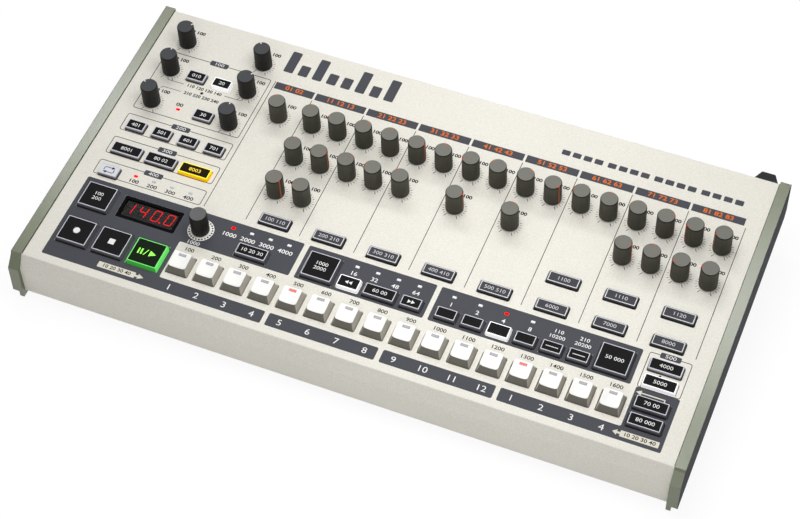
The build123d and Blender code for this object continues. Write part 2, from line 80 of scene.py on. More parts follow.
# ------------------------------------------------------------------ the panel's frame
JOINTS = {joint["child"]: joint for joint in frame["joints"]}
CASE_LOW, CASE_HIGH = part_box("top_case")
FOLD = Vector((CASE_LOW.x, -0.1245, 0.0417))      # left end of the panel's front fold
PANEL_WIDTH = (CASE_HIGH.x - CASE_LOW.x) / MM
PANEL_DEPTH = 248.3
INWARD = Vector(JOINTS["knob_accent"]["axis"])    # knobs turn about the way into the panel
SLOPE = atan2(INWARD.y, -INWARD.z)
PANEL = Matrix.Translation(FOLD) @ Matrix.Rotation(SLOPE, 4, "X") @ Matrix.Scale(MM, 4)
REAR = PANEL @ Matrix.Translation((PANEL_WIDTH, PANEL_DEPTH, 0)) @ Matrix(
    ((-1, 0, 0, 0), (0, 0, 1, 0), (0, 1, 0, 0), (0, 0, 0, 1)))     # the rear wall, seen from behind

# ------------------------------------------------------------------ printing
INK = (-0.02, 0.03)               # lowest and highest n of the first coat of ink
TAG_COAT = (-0.02, 0.04)          # of the tags, which lie over the lines
OVERPRINT = (0.0, 0.05)           # of the coat on top of the first
TAG_OVERPRINT = (0.0, 0.06)       # on top of the tags
THIRD_COAT = (0.0, 0.07)          # and on top of the second coat
LINE = 0.52                       # width of a printed line
GAP = 0.6                         # round every control in the panel
SEAM = 0.5                        # width of the painted shadow line beside each cheek
FRAME_CORNER = 2.2
ZONE_CORNER = 1.4
ZONE_LEFT, ZONE_RIGHT = 12.5, 469.2
ZONE_FRONT, ZONE_REAR = 6.2, 79.4
STRIP_LEFT = 100.3                # left end of the bare strip that carries the step keys
STRIP_FRONT, STRIP_REAR = 16.8, 49.9
FRONT_GAPS = ((182.0, 185.4), (266.6, 270.3), (351.6, 354.9))      # in the band before the keys
REAR_ZONES = ((188.2, 284.9), (288.4, 434.2))     # the two zones behind the keys
LEFT_ZONE_END = 184.3             # of the part of the left zone behind the keys
RIGHT_ZONE_START = 438.7          # of the part of the right zone beside the keys
BAND = (203.6, 210.2)             # v of the title band's lower and upper edge
BAND_GAP = 0.75                   # from a column's edge to the end of its title bar
BAND_SHIFT = 0.3                  # its other end starts this much further in
BAND_END = 467.5
LEFT_DIVIDER = 102.9
FIRST_COLUMN = 135.96
COLUMN = 41.655
COLUMNS = 8
COLUMN_LINES = (84.2, 202.2)      # v of their ends
NUMBER_V = 11.2                   # the numbers under the keys
NUMBER_TYPE = 6.9
KEY_LABEL_V = 45.3                # the numbers behind them
KEY_LABEL_SHIFT = (-0.2, -0.05)   # of the first from its key, and how much further for each next one
KEY_LABEL_TYPE = 4.3
TITLE_TYPE = 5.3
LAMP_TYPE = 4.3                   # beside the lamps on the bare panel
ZONE_TYPE = 4.7                   # in the dark zones
DATA_LABEL = (109.8, 52.0)
PAIR_LABELS = (376.2, 394.8)      # u of two stacked labels behind the last keys
PAIR_LABEL_V = 72.6
PAIR_LABEL_DROP = 4.6             # from the first line of each to the second
KNOB_SWING = 150                  # degrees either side of straight up
SCALE_STEP = 15                   # degrees between the marks round a knob
LONG_SCALE = (7.2, 9.9)           # inner and outer radius of the two end marks
SHORT_SCALE = (7.3, 8.9)          # and of the marks between them
LONG_MARK = 0.45                  # widths of those marks
SHORT_MARKS = (0.38, 0.24)        # every second one is the finer
KNOB_LABEL = 12.6                 # a knob's number lies this far above its middle
DATA_RING = (6.0, 9.65)           # radii of the pale ring round the data knob
DATA_RING_SHIFT = 0.3             # of its outer edge, towards the rear
DATA_DOTS = 24
DATA_DOT_PLACE = 8.45             # radius of the circle of dots
DATA_DOT = 0.7                    # and of each dot

BUTTON_RIM = 1.2                  # hidden rim of every button, inside the case
BUTTON_FOOT_N = -2.6              # where the button's sides end, out of sight
LAMP_SIZE = (2.8, 1.7)
DISPLAY_SURROUND = 2.75           # from the window to the edge of the display's opening
SOCKET_N = -24.0                  # height of the sockets' middles in the rear wall
REAR_FRAME = (SOCKET_N - 9.6, -10.6)    # n of the lower and upper edge of the frames round them
REAR_FRAME_SPARE = 12.0           # from the outermost socket to the frame's end
REAR_NUMBER_N = -13.4


# ------------------------------------------------------------------ shader arithmetic
class Signal:
    """What comes out of a node; arithmetic on it adds Math nodes."""

    def __init__(self, board, socket):
        self.board = board
        self.socket = socket

    def reckon(self, operation, *values):
        return self.board.node("ShaderNodeMath", {"operation": operation}, dict(enumerate(values)))

    def __add__(self, other):
        return self.reckon("ADD", self, other)

    def __sub__(self, other):
        return self.reckon("SUBTRACT", self, other)

    def __rsub__(self, other):
        return self.reckon("SUBTRACT", other, self)

    def __mul__(self, other):
        return self.reckon("MULTIPLY", self, other)

    def __truediv__(self, other):
        return self.reckon("DIVIDE", self, other)

    def __gt__(self, other):
        return self.reckon("GREATER_THAN", self, other)

    def __or__(self, other):
        return self.reckon("MAXIMUM", self, other)

    __radd__ = __add__
    __rmul__ = __mul__


class Board:
    """A node tree under construction."""

    def __init__(self, tree):
        self.tree = tree

    def node(self, kind, settings=None, inputs=None, output=0):
        """Any node: its type, its settings, then the values or links of its sockets."""
        made = self.tree.nodes.new(kind)
        for setting, value in (settings or {}).items():
            setattr(made, setting, value)
        for socket, value in (inputs or {}).items():
            if isinstance(value, Signal):
                self.tree.links.new(value.socket, made.inputs[socket])
            else:
                made.inputs[socket].default_value = value
        return Signal(self, made.outputs[output])

    def seen(self):
        """1 on every ray that shows the studio: straight, mirrored or through glass."""
        camera, glossy, through = [self.node("ShaderNodeLightPath", output=f"Is {ray} Ray")
                                   for ray in ("Camera", "Glossy", "Transmission")]
        return camera | glossy | through

    def mixed(self, share, first, second, end):
        """Two shaders mixed into the tree's last node."""
        mix = self.node("ShaderNodeMixShader", {}, {0: share, 1: first, 2: second})
        self.tree.links.new(mix.socket, self.tree.nodes[end].inputs["Surface"])


class Finish(Board):
    """A material whose pattern is written out in expressions on signals."""

    def __init__(self, name, **constants):
        self.material = bpy.data.materials.new(name)
        self.material.use_nodes = True
        super().__init__(self.material.node_tree)
        self.surface = self.tree.nodes["Principled BSDF"]
        for socket, value in constants.items():
            self.surface.inputs[socket.replace("_", " ")].default_value = value
        self.place = self.node("ShaderNodeTexCoord", output="Object")

    def drive(self, socket, signal):
        self.tree.links.new(signal.socket, self.surface.inputs[socket])

    def noise(self, per_metre, detail=2.0, stretch=None):
        """Cloudy value about zero, with so many lumps to the metre."""
        place = self.place
        if stretch:
            place = self.node("ShaderNodeMapping", {}, {"Vector": place, "Scale": stretch})
        return self.node("ShaderNodeTexNoise", {},
                         {"Vector": place, "Scale": per_metre, "Detail": detail}) - 0.5

    def blend(self, share, first, second):
        """Colour between two others."""
        return self.node("ShaderNodeMix", {"data_type": "RGBA"},
                         {0: share, 6: first, 7: second}, output=2)

    def relief(self, height, depth):
        """Small relief, its depth in metres."""
        bump = self.node("ShaderNodeBump", {}, {"Strength": 1.0, "Distance": depth, "Height": height})
        self.drive("Normal", bump)

    def along(self, direction, origin):
        """Distance in millimetres from a point, along a direction."""
        dot = self.node("ShaderNodeVectorMath", {"operation": "DOT_PRODUCT"},
                        {0: self.place, 1: direction}, output="Value")
        return (dot - direction.dot(origin)) / MM

    def ramp(self, value, low, high):
        """From 0 at the low value to 1 at the high one."""
        return self.node("ShaderNodeMapRange", {}, {"Value": value, "From Min": low, "From Max": high})


def paint(red, green, blue):
    """Scene-linear colour of a display colour, each part from 0 to 255."""
    def linear(part):
        share = part / 255
        return share / 12.92 if share <= 0.04045 else ((share + 0.055) / 1.055) ** 2.4
    return (linear(red), linear(green), linear(blue), 1.0)


def shade(colour, share):
    """The same colour, brighter or darker."""
    return (*[min(part * share, 1.0) for part in colour[:3]], 1.0)


def coat(name, colour, rough, cloud=25.0, grain=2400.0, spread=0.05, depth=0.00002, gloss=0.15):
    """Paint, ink or moulded plastic: slow clouds of tone, and a fine grain in tone, gloss and relief."""
    finish = Finish(name, Specular_IOR_Level=gloss)
    clouds = finish.noise(cloud, 3.0)
    pebbles = finish.noise(grain, 1.0)
    tone = clouds * 0.9 + pebbles * 1.1 + 0.5
    finish.drive("Base Color", finish.blend(tone, shade(colour, 1 - spread), shade(colour, 1 + spread)))
    finish.drive("Roughness", pebbles * 0.25 + clouds * 0.1 + rough)
    finish.relief(pebbles, depth)
    return finish.material


def glowing(name, colour, light, strength, gloss=0.2):
    """Plastic that glows, a little uneven: lit from inside on lit parts, a painted glow on unlit button
    rims and lamps.
    """
    finish = Finish(name, Emission_Strength=strength, Specular_IOR_Level=gloss)
    clouds = finish.noise(300.0, 2.0)
    finish.drive("Base Color", finish.blend(clouds + 0.5, shade(colour, 0.95), shade(colour, 1.05)))
    finish.drive("Emission Color", finish.blend(clouds + 0.5, shade(light, 0.9), light))
    finish.drive("Roughness", clouds * 0.15 + 0.4)
    return finish.material


# ------------------------------------------------------------------ finishes
def cream_paint():
    """Fine-textured powder coat."""
    finish = Finish("cream_paint", Specular_IOR_Level=0.2)
    clouds = finish.noise(9.0, 3.0)
    coarse = finish.noise(1000.0, 2.0)
    fine = finish.noise(2800.0, 1.0)
    tone = clouds * 0.4 + coarse * 1.0 + fine * 0.9 + 0.5
    finish.drive("Base Color", finish.blend(tone, paint(219, 215, 204), paint(248, 245, 236)))
    finish.drive("Roughness", fine * 0.2 + coarse * 0.1 + 0.5)
    finish.relief(coarse * 0.8 + fine, 0.00009)
    return finish.material


def cheek_paint():
    """Satin grey-green, with a dull dark outer face."""
    finish = Finish("green_cheek", Specular_IOR_Level=0.08, Coat_Weight=0.9, Coat_Roughness=0.22,
                    Coat_IOR=1.7)
    clouds = finish.noise(12.0, 3.0)
    coarse = finish.noise(1100.0, 2.0)
    fine = finish.noise(2600.0, 1.5)
    tone = clouds * 0.5 + coarse * 0.7 + fine * 0.6 + 0.5
    finish.drive("Base Color", finish.blend(tone, paint(90, 98, 69), paint(108, 116, 85)))
    finish.drive("Roughness", coarse * 0.2 + 0.45)
    finish.relief(coarse + fine * 0.6, 0.00004)
    slate = finish.blend(clouds + coarse * 0.5 + 0.5, paint(70, 71, 75), paint(85, 86, 90))
    dull = finish.node("ShaderNodeBsdfPrincipled", {}, {
        "Base Color": slate, "Roughness": coarse * 0.2 + 0.75, "Specular IOR Level": 0.05})
    outward = Vector((1, 0, 0))
    right = finish.along(outward, Vector((cad_box[1].x, 0, 0))) > -0.35
    left = 1 - (finish.along(outward, Vector((cad_box[0].x, 0, 0))) > 0.35)
    finish.mixed(right | left, Signal(finish, finish.surface.outputs[0]), dull, "Material Output")
    return finish.material


def moulded_sides(name, low, high, heights, rough, gloss=0.15):
    """Plastic whose tone changes with height over the panel: painted shade and light, not a colour of its
    own.
    """
    finish = Finish(name, Specular_IOR_Level=gloss)
    rise = finish.ramp(finish.along(-INWARD, FOLD), *heights)
    clouds = finish.noise(180.0, 3.0)
    fine = finish.noise(1800.0, 1.0)
    tone = rise + clouds * 0.25 + fine * 0.12
    finish.drive("Base Color", finish.blend(tone, low, high))
    finish.drive("Roughness", fine * 0.2 + rough)
    finish.relief(fine, 0.000015)
    return finish.material


def brushed_metal(name, colour, rough, stretch):
    """Turned or plated metal, with fine lines along one direction."""
    finish = Finish(name, Metallic=1.0)
    lines = finish.noise(1.0, 2.0, stretch)
    clouds = finish.noise(80.0, 2.0)
    finish.drive("Base Color", finish.blend(lines + clouds * 0.5 + 0.5, shade(colour, 0.85), colour))
    finish.drive("Roughness", lines * 0.3 + clouds * 0.15 + rough)
    finish.relief(lines, 0.00001)
    return finish.material


def circuit_board():
    """Green solder mask over a faint grid of tracks."""
    finish = Finish("board_green", Specular_IOR_Level=0.5)
    tracks = finish.node("ShaderNodeTexBrick", {"offset": 0.5}, {
        "Vector": finish.place, "Scale": 180.0, "Mortar Size": 0.03,
        "Color1": paint(24, 84, 48), "Color2": paint(20, 74, 44), "Mortar": paint(58, 128, 78)})
    clouds = finish.noise(60.0, 3.0)
    finish.drive("Base Color", finish.blend(clouds * 0.5 + 0.25, tracks, paint(16, 60, 36)))
    finish.drive("Roughness", clouds * 0.2 + 0.35)
    return finish.material


def smoked_glass():
    """Dark window that lets the digits below it through."""
    finish = Finish("smoked_window", Alpha=0.96, Specular_IOR_Level=0.06)
    clouds = finish.noise(60.0, 2.0)
    finish.drive("Base Color", finish.blend(clouds + 0.5, paint(26, 25, 26), paint(34, 32, 33)))
    finish.drive("Roughness", clouds * 0.1 + 0.25)
    return finish.material


CREAM = cream_paint()
CHEEKS = cheek_paint()
TRAY = coat("tray_paint", paint(52, 52, 54), 0.5, spread=0.08, depth=0.00004)
REAR_PAINT = coat("rear_paint", paint(224, 220, 208), 0.5, spread=0.03, depth=0.00004)
RUBBER = coat("rubber", paint(34, 34, 34), 0.8, cloud=200.0, grain=1500.0, spread=0.12, depth=0.00005)
SCREW = brushed_metal("screw_steel", paint(120, 120, 124), 0.35, (900, 900, 90))
JACK = coat("jack_body", paint(40, 40, 42), 0.35, cloud=120.0, spread=0.1, gloss=0.4)
SOCKET = coat("socket_black", paint(34, 34, 36), 0.45, cloud=120.0, spread=0.1, gloss=0.3)
BOARD = circuit_board()
POT = brushed_metal("pot_steel", paint(170, 172, 176), 0.35, (60, 900, 900))
SWITCH = coat("switch_black", paint(32, 32, 34), 0.5, cloud=150.0, spread=0.1)
DISPLAY_BLACK = coat("display_black", paint(6, 6, 6), 0.6, cloud=100.0, spread=0.2, gloss=0.03)
WINDOW = smoked_glass()
HOOK = coat("hook_black", paint(30, 31, 34), 0.45, cloud=120.0, spread=0.1)

DARK_INK = coat("dark_ink", paint(74, 76, 82), 0.5, cloud=40.0, spread=0.05, depth=0.00001, gloss=0.1)
LINE_INK = coat("line_ink", paint(58, 56, 50), 0.55, spread=0.06, gloss=0.1)
BLACK_INK = coat("black_ink", paint(30, 29, 27), 0.55, spread=0.08, gloss=0.1)
FINE_INK = coat("fine_ink", paint(74, 72, 66), 0.55, spread=0.06, gloss=0.1)
WHITE_INK = coat("white_ink", paint(244, 244, 242), 0.5, spread=0.03)
# painted shadow in the seam between the panel and each cheek
SEAM_PAINTED_SHADOW = coat("seam_painted_shadow", paint(62, 64, 52), 0.8, spread=0.08, gloss=0.05)
VOICE_INK = coat("voice_ink", paint(206, 206, 212), 0.5, spread=0.03)
ORANGE_INK = coat("orange_ink", paint(238, 118, 28), 0.5, spread=0.06, gloss=0.1)
CREAM_INK = coat("cream_ink", paint(228, 223, 208), 0.55, spread=0.03)
RING_INK = coat("ring_ink", paint(250, 248, 240), 0.55, spread=0.03)

KNOB_TOP_GREY = coat("knob_top_grey", paint(116, 116, 109), 0.5, cloud=260.0, spread=0.05)
# painted shade: the grey knob sides darker towards the panel
KNOB_SIDE_GREY = moulded_sides("knob_side_grey", paint(60, 59, 50), paint(80, 79, 69), (1.0, 17.0), 0.5,
                               gloss=0.1)
KNOB_TOP_BLACK = coat("knob_top_black", paint(66, 67, 70), 0.5, cloud=260.0, spread=0.05)
# painted shade: the black knob sides darker towards the panel
KNOB_SIDE_BLACK = moulded_sides("knob_side_black", paint(22, 21, 21), paint(38, 37, 35), (1.0, 17.0), 0.5)
KNOB_EDGE = coat("knob_edge", paint(30, 30, 28), 0.45, cloud=260.0, spread=0.1)
KNOB_TOP_DATA = coat("knob_top_data", paint(98, 99, 98), 0.5, cloud=260.0, spread=0.05)
ORANGE_STRIPE = coat("orange_stripe", paint(192, 100, 62), 0.5, cloud=300.0, spread=0.06)
ORANGE_MARK = coat("orange_mark", paint(206, 86, 40), 0.5, cloud=300.0, spread=0.06)
WHITE_MARK = coat("white_mark", paint(236, 236, 234), 0.5, cloud=300.0, spread=0.03)

KEY_TOP = coat("key_top", paint(253, 253, 249), 0.4, cloud=200.0, spread=0.02, depth=0.00001)
# painted shade: the key sides a little darker towards the panel
KEY_SIDE = moulded_sides("key_side", paint(118, 115, 106), paint(124, 121, 113), (-1.0, 7.0), 0.5)
# painted light: paler grey for the key sides that face across, standing in for the light that falls on them
KEY_FLANK_PAINTED_LIGHT = moulded_sides("key_flank_painted_light", paint(180, 176, 166), paint(194, 190, 180), (-1.0, 7.0), 0.5)
KEY_WINDOW = coat("key_window", paint(186, 183, 190), 0.4, cloud=400.0, spread=0.05)
KEY_WINDOW_EDGE = coat("key_window_edge", paint(146, 142, 146), 0.4, cloud=400.0, spread=0.05)
KEY_WINDOW_LIT = glowing("key_window_lit", paint(250, 110, 106), paint(255, 96, 92), 0.35)

# painted reflection: one smoked plastic in two copies, paler for buttons on the cream panel and darker for
# those in the dark zones, each darker towards its foot
SMOKE_PAINTED_LIGHT = moulded_sides("button_smoke_painted_light", paint(60, 60, 60), paint(182, 181, 185), (0.2, 2.9), 0.45,
                      gloss=0.1)
SMOKE_PAINTED_SHADE = moulded_sides("button_smoke_painted_shade", paint(42, 42, 45), paint(122, 122, 126), (0.3, 2.8), 0.45,
                           gloss=0.1)
# painted shade: the voice button sides darker towards the panel
SMOKE_VOICE = moulded_sides("button_smoke_voice", paint(28, 28, 29), paint(64, 64, 66), (0.0, 2.2), 0.45,
                            gloss=0.1)
# painted highlight: paler grey for the zone buttons' sides that face across, lightest near the foot
FLANK_PAINTED_LIGHT = moulded_sides("button_flank_painted_light", paint(98, 99, 103), paint(80, 81, 85), (0.0, 2.8), 0.45,
                           gloss=0.1)
# painted highlight: the pale rims of unlit buttons glow a little, standing in for the light caught on their
# edges
RIM_PALE_PAINTED_GLOW = glowing("button_rim_painted_glow", paint(208, 208, 217), paint(224, 224, 236), 0.12)
RIM_GREY_PAINTED_GLOW = glowing("button_rim_grey_painted_glow", paint(216, 217, 222), paint(240, 242, 250), 0.08)
BORDER_GREY = coat("button_border_grey", paint(62, 62, 65), 0.35, cloud=300.0, spread=0.08)
FACE_BLACK = coat("button_face", paint(25, 25, 26), 0.6, cloud=200.0, spread=0.2, gloss=0.05)
FACE_GREY = coat("voice_face", paint(67, 67, 71), 0.5, cloud=200.0, spread=0.05, gloss=0.1)
FACE_GREEN = coat("play_face", paint(18, 30, 17), 0.6, cloud=200.0, spread=0.1, gloss=0.05)
FACE_BROWN = coat("mode_face", paint(30, 22, 14), 0.6, cloud=200.0, spread=0.1, gloss=0.05)
FACE_WHITE = coat("loop_face", paint(222, 223, 232), 0.35, cloud=200.0, spread=0.03)
LIT_WHITE = glowing("lit_white", paint(244, 244, 248), paint(255, 255, 255), 0.4)
LIT_YELLOW = glowing("lit_yellow", paint(246, 196, 10), paint(255, 206, 10), 0.35)
LIT_YELLOW_RIM = glowing("lit_yellow_rim", paint(250, 236, 30), paint(255, 242, 40), 0.4)
LIT_GREEN = glowing("lit_green", paint(62, 158, 58), paint(80, 190, 76), 0.3)
LIT_GREEN_RIM = glowing("lit_green_rim", paint(104, 222, 104), paint(120, 240, 120), 0.4)
LEGEND_GREEN = glowing("legend_green", paint(140, 240, 80), paint(150, 255, 90), 0.6)
LEGEND_YELLOW = glowing("legend_yellow", paint(250, 215, 60), paint(255, 220, 70), 0.4)
LAMP_OFF = coat("lamp_off", paint(206, 206, 214), 0.3, cloud=400.0, spread=0.06)
# painted glow: the unlit white lamps shine a little though no light is on in them
LAMP_WHITE_PAINTED_GLOW = glowing("lamp_white_painted_glow", paint(236, 236, 242), paint(255, 255, 255), 0.2)
LAMP_LIT = glowing("lamp_lit", paint(235, 4, 4), paint(255, 0, 0), 1.1, gloss=0.02)
DIGIT_LIT = glowing("digit_lit", paint(190, 4, 8), paint(255, 10, 18), 0.95, gloss=0.02)
DIGIT_DARK = coat("digit_dark", paint(40, 26, 27), 0.6, cloud=300.0, spread=0.15, gloss=0.03)


# ------------------------------------------------------------------ outlines and shapes
def rectangle(u, v, width, depth):
    """Corners, anticlockwise, of a rectangle about its middle."""
    return [(u + width / 2, v + depth / 2), (u - width / 2, v + depth / 2),
            (u - width / 2, v - depth / 2), (u + width / 2, v - depth / 2)]


def soften(corners, radius, steps=4):
    """Outline with every corner of a polygon rounded."""
    points = []
    for before, corner, after in zip(corners[-1:] + corners[:-1], corners, corners[1:] + corners[:1]):
        corner = Vector(corner)
        start = corner + (Vector(before) - corner).normalized() * radius
        end = corner + (Vector(after) - corner).normalized() * radius
        for step in range(steps + 1):
            share = step / steps
            point = start * (1 - share) ** 2 + corner * 2 * share * (1 - share) + end * share ** 2
            points.append(tuple(point))
    return points


def finely(outline, cuts=8):
    """A softened rectangle whose four straight sides are cut into short ones."""
    points, corner = [], len(outline) // 4
    for index, (start, end) in enumerate(zip(outline, outline[1:] + outline[:1]), start=1):
        parts = 1 if index % corner else cuts
        points += [tuple(Vector(start).lerp(Vector(end), part / parts)) for part in range(parts)]
    return points


def circle(u, v, radius, points=32):
    return [(u + radius * cos(2 * pi * index / points), v + radius * sin(2 * pi * index / points))
            for index in range(points)]


def inside(point, outline):
    """Whether a point lies inside a closed outline."""
    crossings = 0
    for (u1, v1), (u2, v2) in zip(outline, outline[1:] + outline[:1]):
        if (v1 > point[1]) != (v2 > point[1]):
            crossings += point[0] < u1 + (point[1] - v1) / (v2 - v1) * (u2 - u1)
    return crossings % 2 == 1


def level(outline, n):
    return [Vector((u, v, n)) for u, v in outline]


class Shape:
    """A mesh under construction, in millimetres in the panel's frame."""

    def __init__(self):
        self.mesh = bmesh.new()

    def skin(self, sections, place=Matrix()):
        """Closed skin through sections: each a ring of points and the finish of the band up to it."""
        rings = [[self.mesh.verts.new(place @ point) for point in ring] for ring, _ in sections]
        self.mesh.faces.new(reversed(rings[0])).material_index = sections[0][1]
        self.mesh.faces.new(rings[-1]).material_index = sections[-1][1]
        for below, above, (_, finish) in zip(rings, rings[1:], sections[1:]):
            for here in range(len(below)):
                after = (here + 1) % len(below)
                band = (below[here], below[after], above[after], above[here])
                self.mesh.faces.new(band).material_index = finish

    def repaint(self, old, new, way):
        """Change the finish of the faces that look one way or its opposite."""
        self.mesh.normal_update()
        for face in self.mesh.faces:
            if face.material_index == old and abs(face.normal.dot(way)) > 0.6:
                face.material_index = new

    def take(self, curve, place, finish):
        """Add what a filled curve or a text gives, and drop the curve."""
        holder = bpy.data.objects.new("holder", curve)
        filled = bpy.data.meshes.new_from_object(holder)
        filled.transform(place)
        count = len(self.mesh.faces)
        self.mesh.from_mesh(filled)
        self.mesh.faces.ensure_lookup_table()
        for face in self.mesh.faces[count:]:
            face.material_index = finish
        bpy.data.objects.remove(holder)
        bpy.data.curves.remove(curve)
        bpy.data.meshes.remove(filled)

    def print(self, loops, finish=0, coat=INK):
        """Flat print with the given outline; further loops are holes in it."""
        curve = bpy.data.curves.new("print", "CURVE")
        curve.dimensions = "2D"
        curve.fill_mode = "BOTH"
        curve.extrude = (coat[1] - coat[0]) / 2
        for loop in loops:
            spline = curve.splines.new("POLY")
            spline.points.add(len(loop) - 1)
            for point, (u, v) in zip(spline.points, loop):
                point.co = (u, v, 0, 1)
            spline.use_cyclic_u = True
        self.take(curve, Matrix.Translation((0, 0, sum(coat) / 2)), finish)

    def mark(self, text, u, v, size, finish=0, coat=OVERPRINT, wide=1.15, bold=0.01):
        """Numerals in the built-in type, centred on a place."""
        curve = bpy.data.curves.new("mark", "FONT")
        curve.body = text
        curve.size = size
        curve.offset = bold * size
        curve.resolution_u = 3
        curve.extrude = (coat[1] - coat[0]) / 2
        curve.align_x = "CENTER"
        curve.align_y = "CENTER"
        place = Matrix.Translation((u, v, sum(coat) / 2))
        self.take(curve, place @ Matrix.Diagonal((wide, 1, 1, 1)), finish)

    def line(self, points, width=LINE, finish=0, coat=INK):
        """Printed line through points."""
        points = [Vector(point) for point in points]
        left, right = [], []
        for before, point, after in zip(points[:1] + points, points, points[1:] + points[-1:]):
            across = (after - before).normalized().orthogonal() * width / 2
            left.append(tuple(point - across))
            right.append(tuple(point + across))
        self.print([left + right[::-1]], finish, coat)

    def make(self, name, body, slot, finishes, stands_for=(), place=PANEL):
        """Turn the shape into a piece that rides on a body."""
        mesh = bpy.data.meshes.new(name)
        bmesh.ops.remove_doubles(self.mesh, verts=self.mesh.verts, dist=0.0005)
        bmesh.ops.recalc_face_normals(self.mesh, faces=self.mesh.faces)
        self.mesh.to_mesh(mesh)
        self.mesh.free()
        mesh.transform(place)
        for finish in finishes:
            mesh.materials.append(finish)
        mesh.shade_smooth()
        mesh.set_sharp_from_angle(angle=radians(CREASE))
        piece = bpy.data.objects.new(name, mesh)
        bpy.context.scene.collection.objects.link(piece)
        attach(piece, body)
        if stands_for:
            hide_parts(*stands_for)
        return piece


# ------------------------------------------------------------------ what the frame holds
ROW = 5.0                         # solids whose middles lie this close in v are in one row


def solids(node):
    """Each separate solid of a CAD node as a box (low, high) in the panel's frame, rear row first."""
    mesh = bmesh.new()
    mesh.from_mesh(frame["nodes"][node].data)
    bmesh.ops.remove_doubles(mesh, verts=mesh.verts, dist=1e-6)
    mesh.transform(PANEL.inverted())
    left, boxes = set(mesh.verts), []
    while left:
        island, edge = set(), [left.pop()]
        while edge:
            vertex = edge.pop()
            island.add(vertex)
            for link in vertex.link_edges:
                other = link.other_vert(vertex)
                if other in left:
                    left.discard(other)
                    edge.append(other)
        corners = list(zip(*[vertex.co for vertex in island]))
        boxes.append((Vector(map(min, corners)), Vector(map(max, corners))))
    mesh.free()
    return sorted(boxes, key=lambda box: (-round((box[0].y + box[1].y) / 2 / ROW), box[0].x))


def middle(box):
    return (box[0] + box[1]) / 2


BANKS = {bank: solids(bank) for bank in
         ("voice_buttons", "square_buttons", "function_buttons", "pattern_buttons")}
KEYS = sorted(solids("step_keys"), key=lambda box: box[0].x)
LAMPS = solids("led_lamps")
DISPLAY = solids("display_window")[0]
KNOBS = sorted(name for name in JOINTS if name.startswith("knob_"))


def knob_place(name):
    return PANEL.inverted() @ Vector(JOINTS[name]["pos_m"])


def panel_openings():
    """Outline of every opening in the panel, with its middle."""
    buttons_in = [box for bank in BANKS.values() for box in bank]
    widths = [(box, box[1].xy - box[0].xy, 2 * (GAP - BUTTON_RIM), 1.3) for box in buttons_in]
    widths += [(box, Vector(LAMP_SIZE), 0.3, 0.4) for box in LAMPS]
    widths.append((DISPLAY, DISPLAY[1].xy - DISPLAY[0].xy, 2 * DISPLAY_SURROUND, 0.8))
    openings = []
    for box, size, spare, corner in widths:
        place = middle(box)
        around_it = rectangle(*place.xy, *(size + Vector((spare, spare))))
        openings.append((place, soften(around_it, corner)))
    place = knob_place("knob_data")
    openings.append((place, circle(*place.xy, DATA_RING[0])))
    return openings


# ------------------------------------------------------------------ CAD nodes that stay
def dress(node, finish):
    """Give a CAD node its finish."""
    piece = frame["nodes"][node]
    for slot in piece.material_slots:
        slot.material = finish
    if not piece.material_slots:
        piece.data.materials.append(finish)
    return piece


def ease_edges(piece, width):
    """Break a CAD node's sharp edges."""
    weld = piece.modifiers.new("weld", "WELD")
    weld.merge_threshold = 1e-6
    bevel = piece.modifiers.new("edges", "BEVEL")
    bevel.width = width * MM
    bevel.segments = 2
    bevel.limit_method = "ANGLE"
    bevel.angle_limit = radians(30)
    bevel.harden_normals = True


EDGE_WIDTHS = {"left_cheek": 0.5, "right_cheek": 0.5, "cord_hook": 0.4, "power_rocker": 0.3,
               "base_tray": 0.5}


def dress_frame():
    finishes = {
        "top_case": CREAM, "left_cheek": CHEEKS, "right_cheek": CHEEKS, "base_tray": TRAY,
        "rubber_feet": RUBBER, "case_screws": SCREW, "rear_panel": REAR_PAINT, "audio_jacks": JACK,
        "power_and_data_sockets": SOCKET, "cord_hook": HOOK, "control_board": BOARD, "io_board": BOARD,
        "potentiometers": POT, "button_switches": SWITCH, "display_module": DISPLAY_BLACK,
        "display_window": WINDOW, "power_rocker": SOCKET}
    for node, finish in finishes.items():
        dress(node, finish)
    for node, width in EDGE_WIDTHS.items():
        ease_edges(frame["nodes"][node], width)


# ------------------------------------------------------------------ printing on the panel
def zone_outlines():
    """The dark printed zones, as corner points."""
    first, second, third = FRONT_GAPS
    left = [(ZONE_LEFT, ZONE_FRONT), (first[0], ZONE_FRONT), (first[0], STRIP_FRONT),
            (STRIP_LEFT, STRIP_FRONT), (STRIP_LEFT, STRIP_REAR), (LEFT_ZONE_END, STRIP_REAR),
            (LEFT_ZONE_END, ZONE_REAR), (ZONE_LEFT, ZONE_REAR)]
    bars = [[(start, ZONE_FRONT), (end, ZONE_FRONT), (end, STRIP_FRONT), (start, STRIP_FRONT)]
            for start, end in ((first[1], second[0]), (second[1], third[0]))]
    right = [(third[1], ZONE_FRONT), (ZONE_RIGHT, ZONE_FRONT), (ZONE_RIGHT, STRIP_REAR),
             (RIGHT_ZONE_START, STRIP_REAR), (RIGHT_ZONE_START, STRIP_FRONT), (third[1], STRIP_FRONT)]
    upper = [[(start, STRIP_REAR), (end, STRIP_REAR), (end, ZONE_REAR), (start, ZONE_REAR)]
             for start, end in REAR_ZONES]
    return [left, right] + bars + upper


def print_zones():
    shape, openings = Shape(), panel_openings()
    for corners in zone_outlines():
        holes = [outline for place, outline in openings if inside(place.xy, corners)]
        shape.print([soften(corners, ZONE_CORNER)] + holes)
    shape.make("dark_zones", "housing", "cream_paint", [DARK_INK])


def column_edges():
    return [LEFT_DIVIDER] + [FIRST_COLUMN + COLUMN * index for index in range(COLUMNS + 1)]


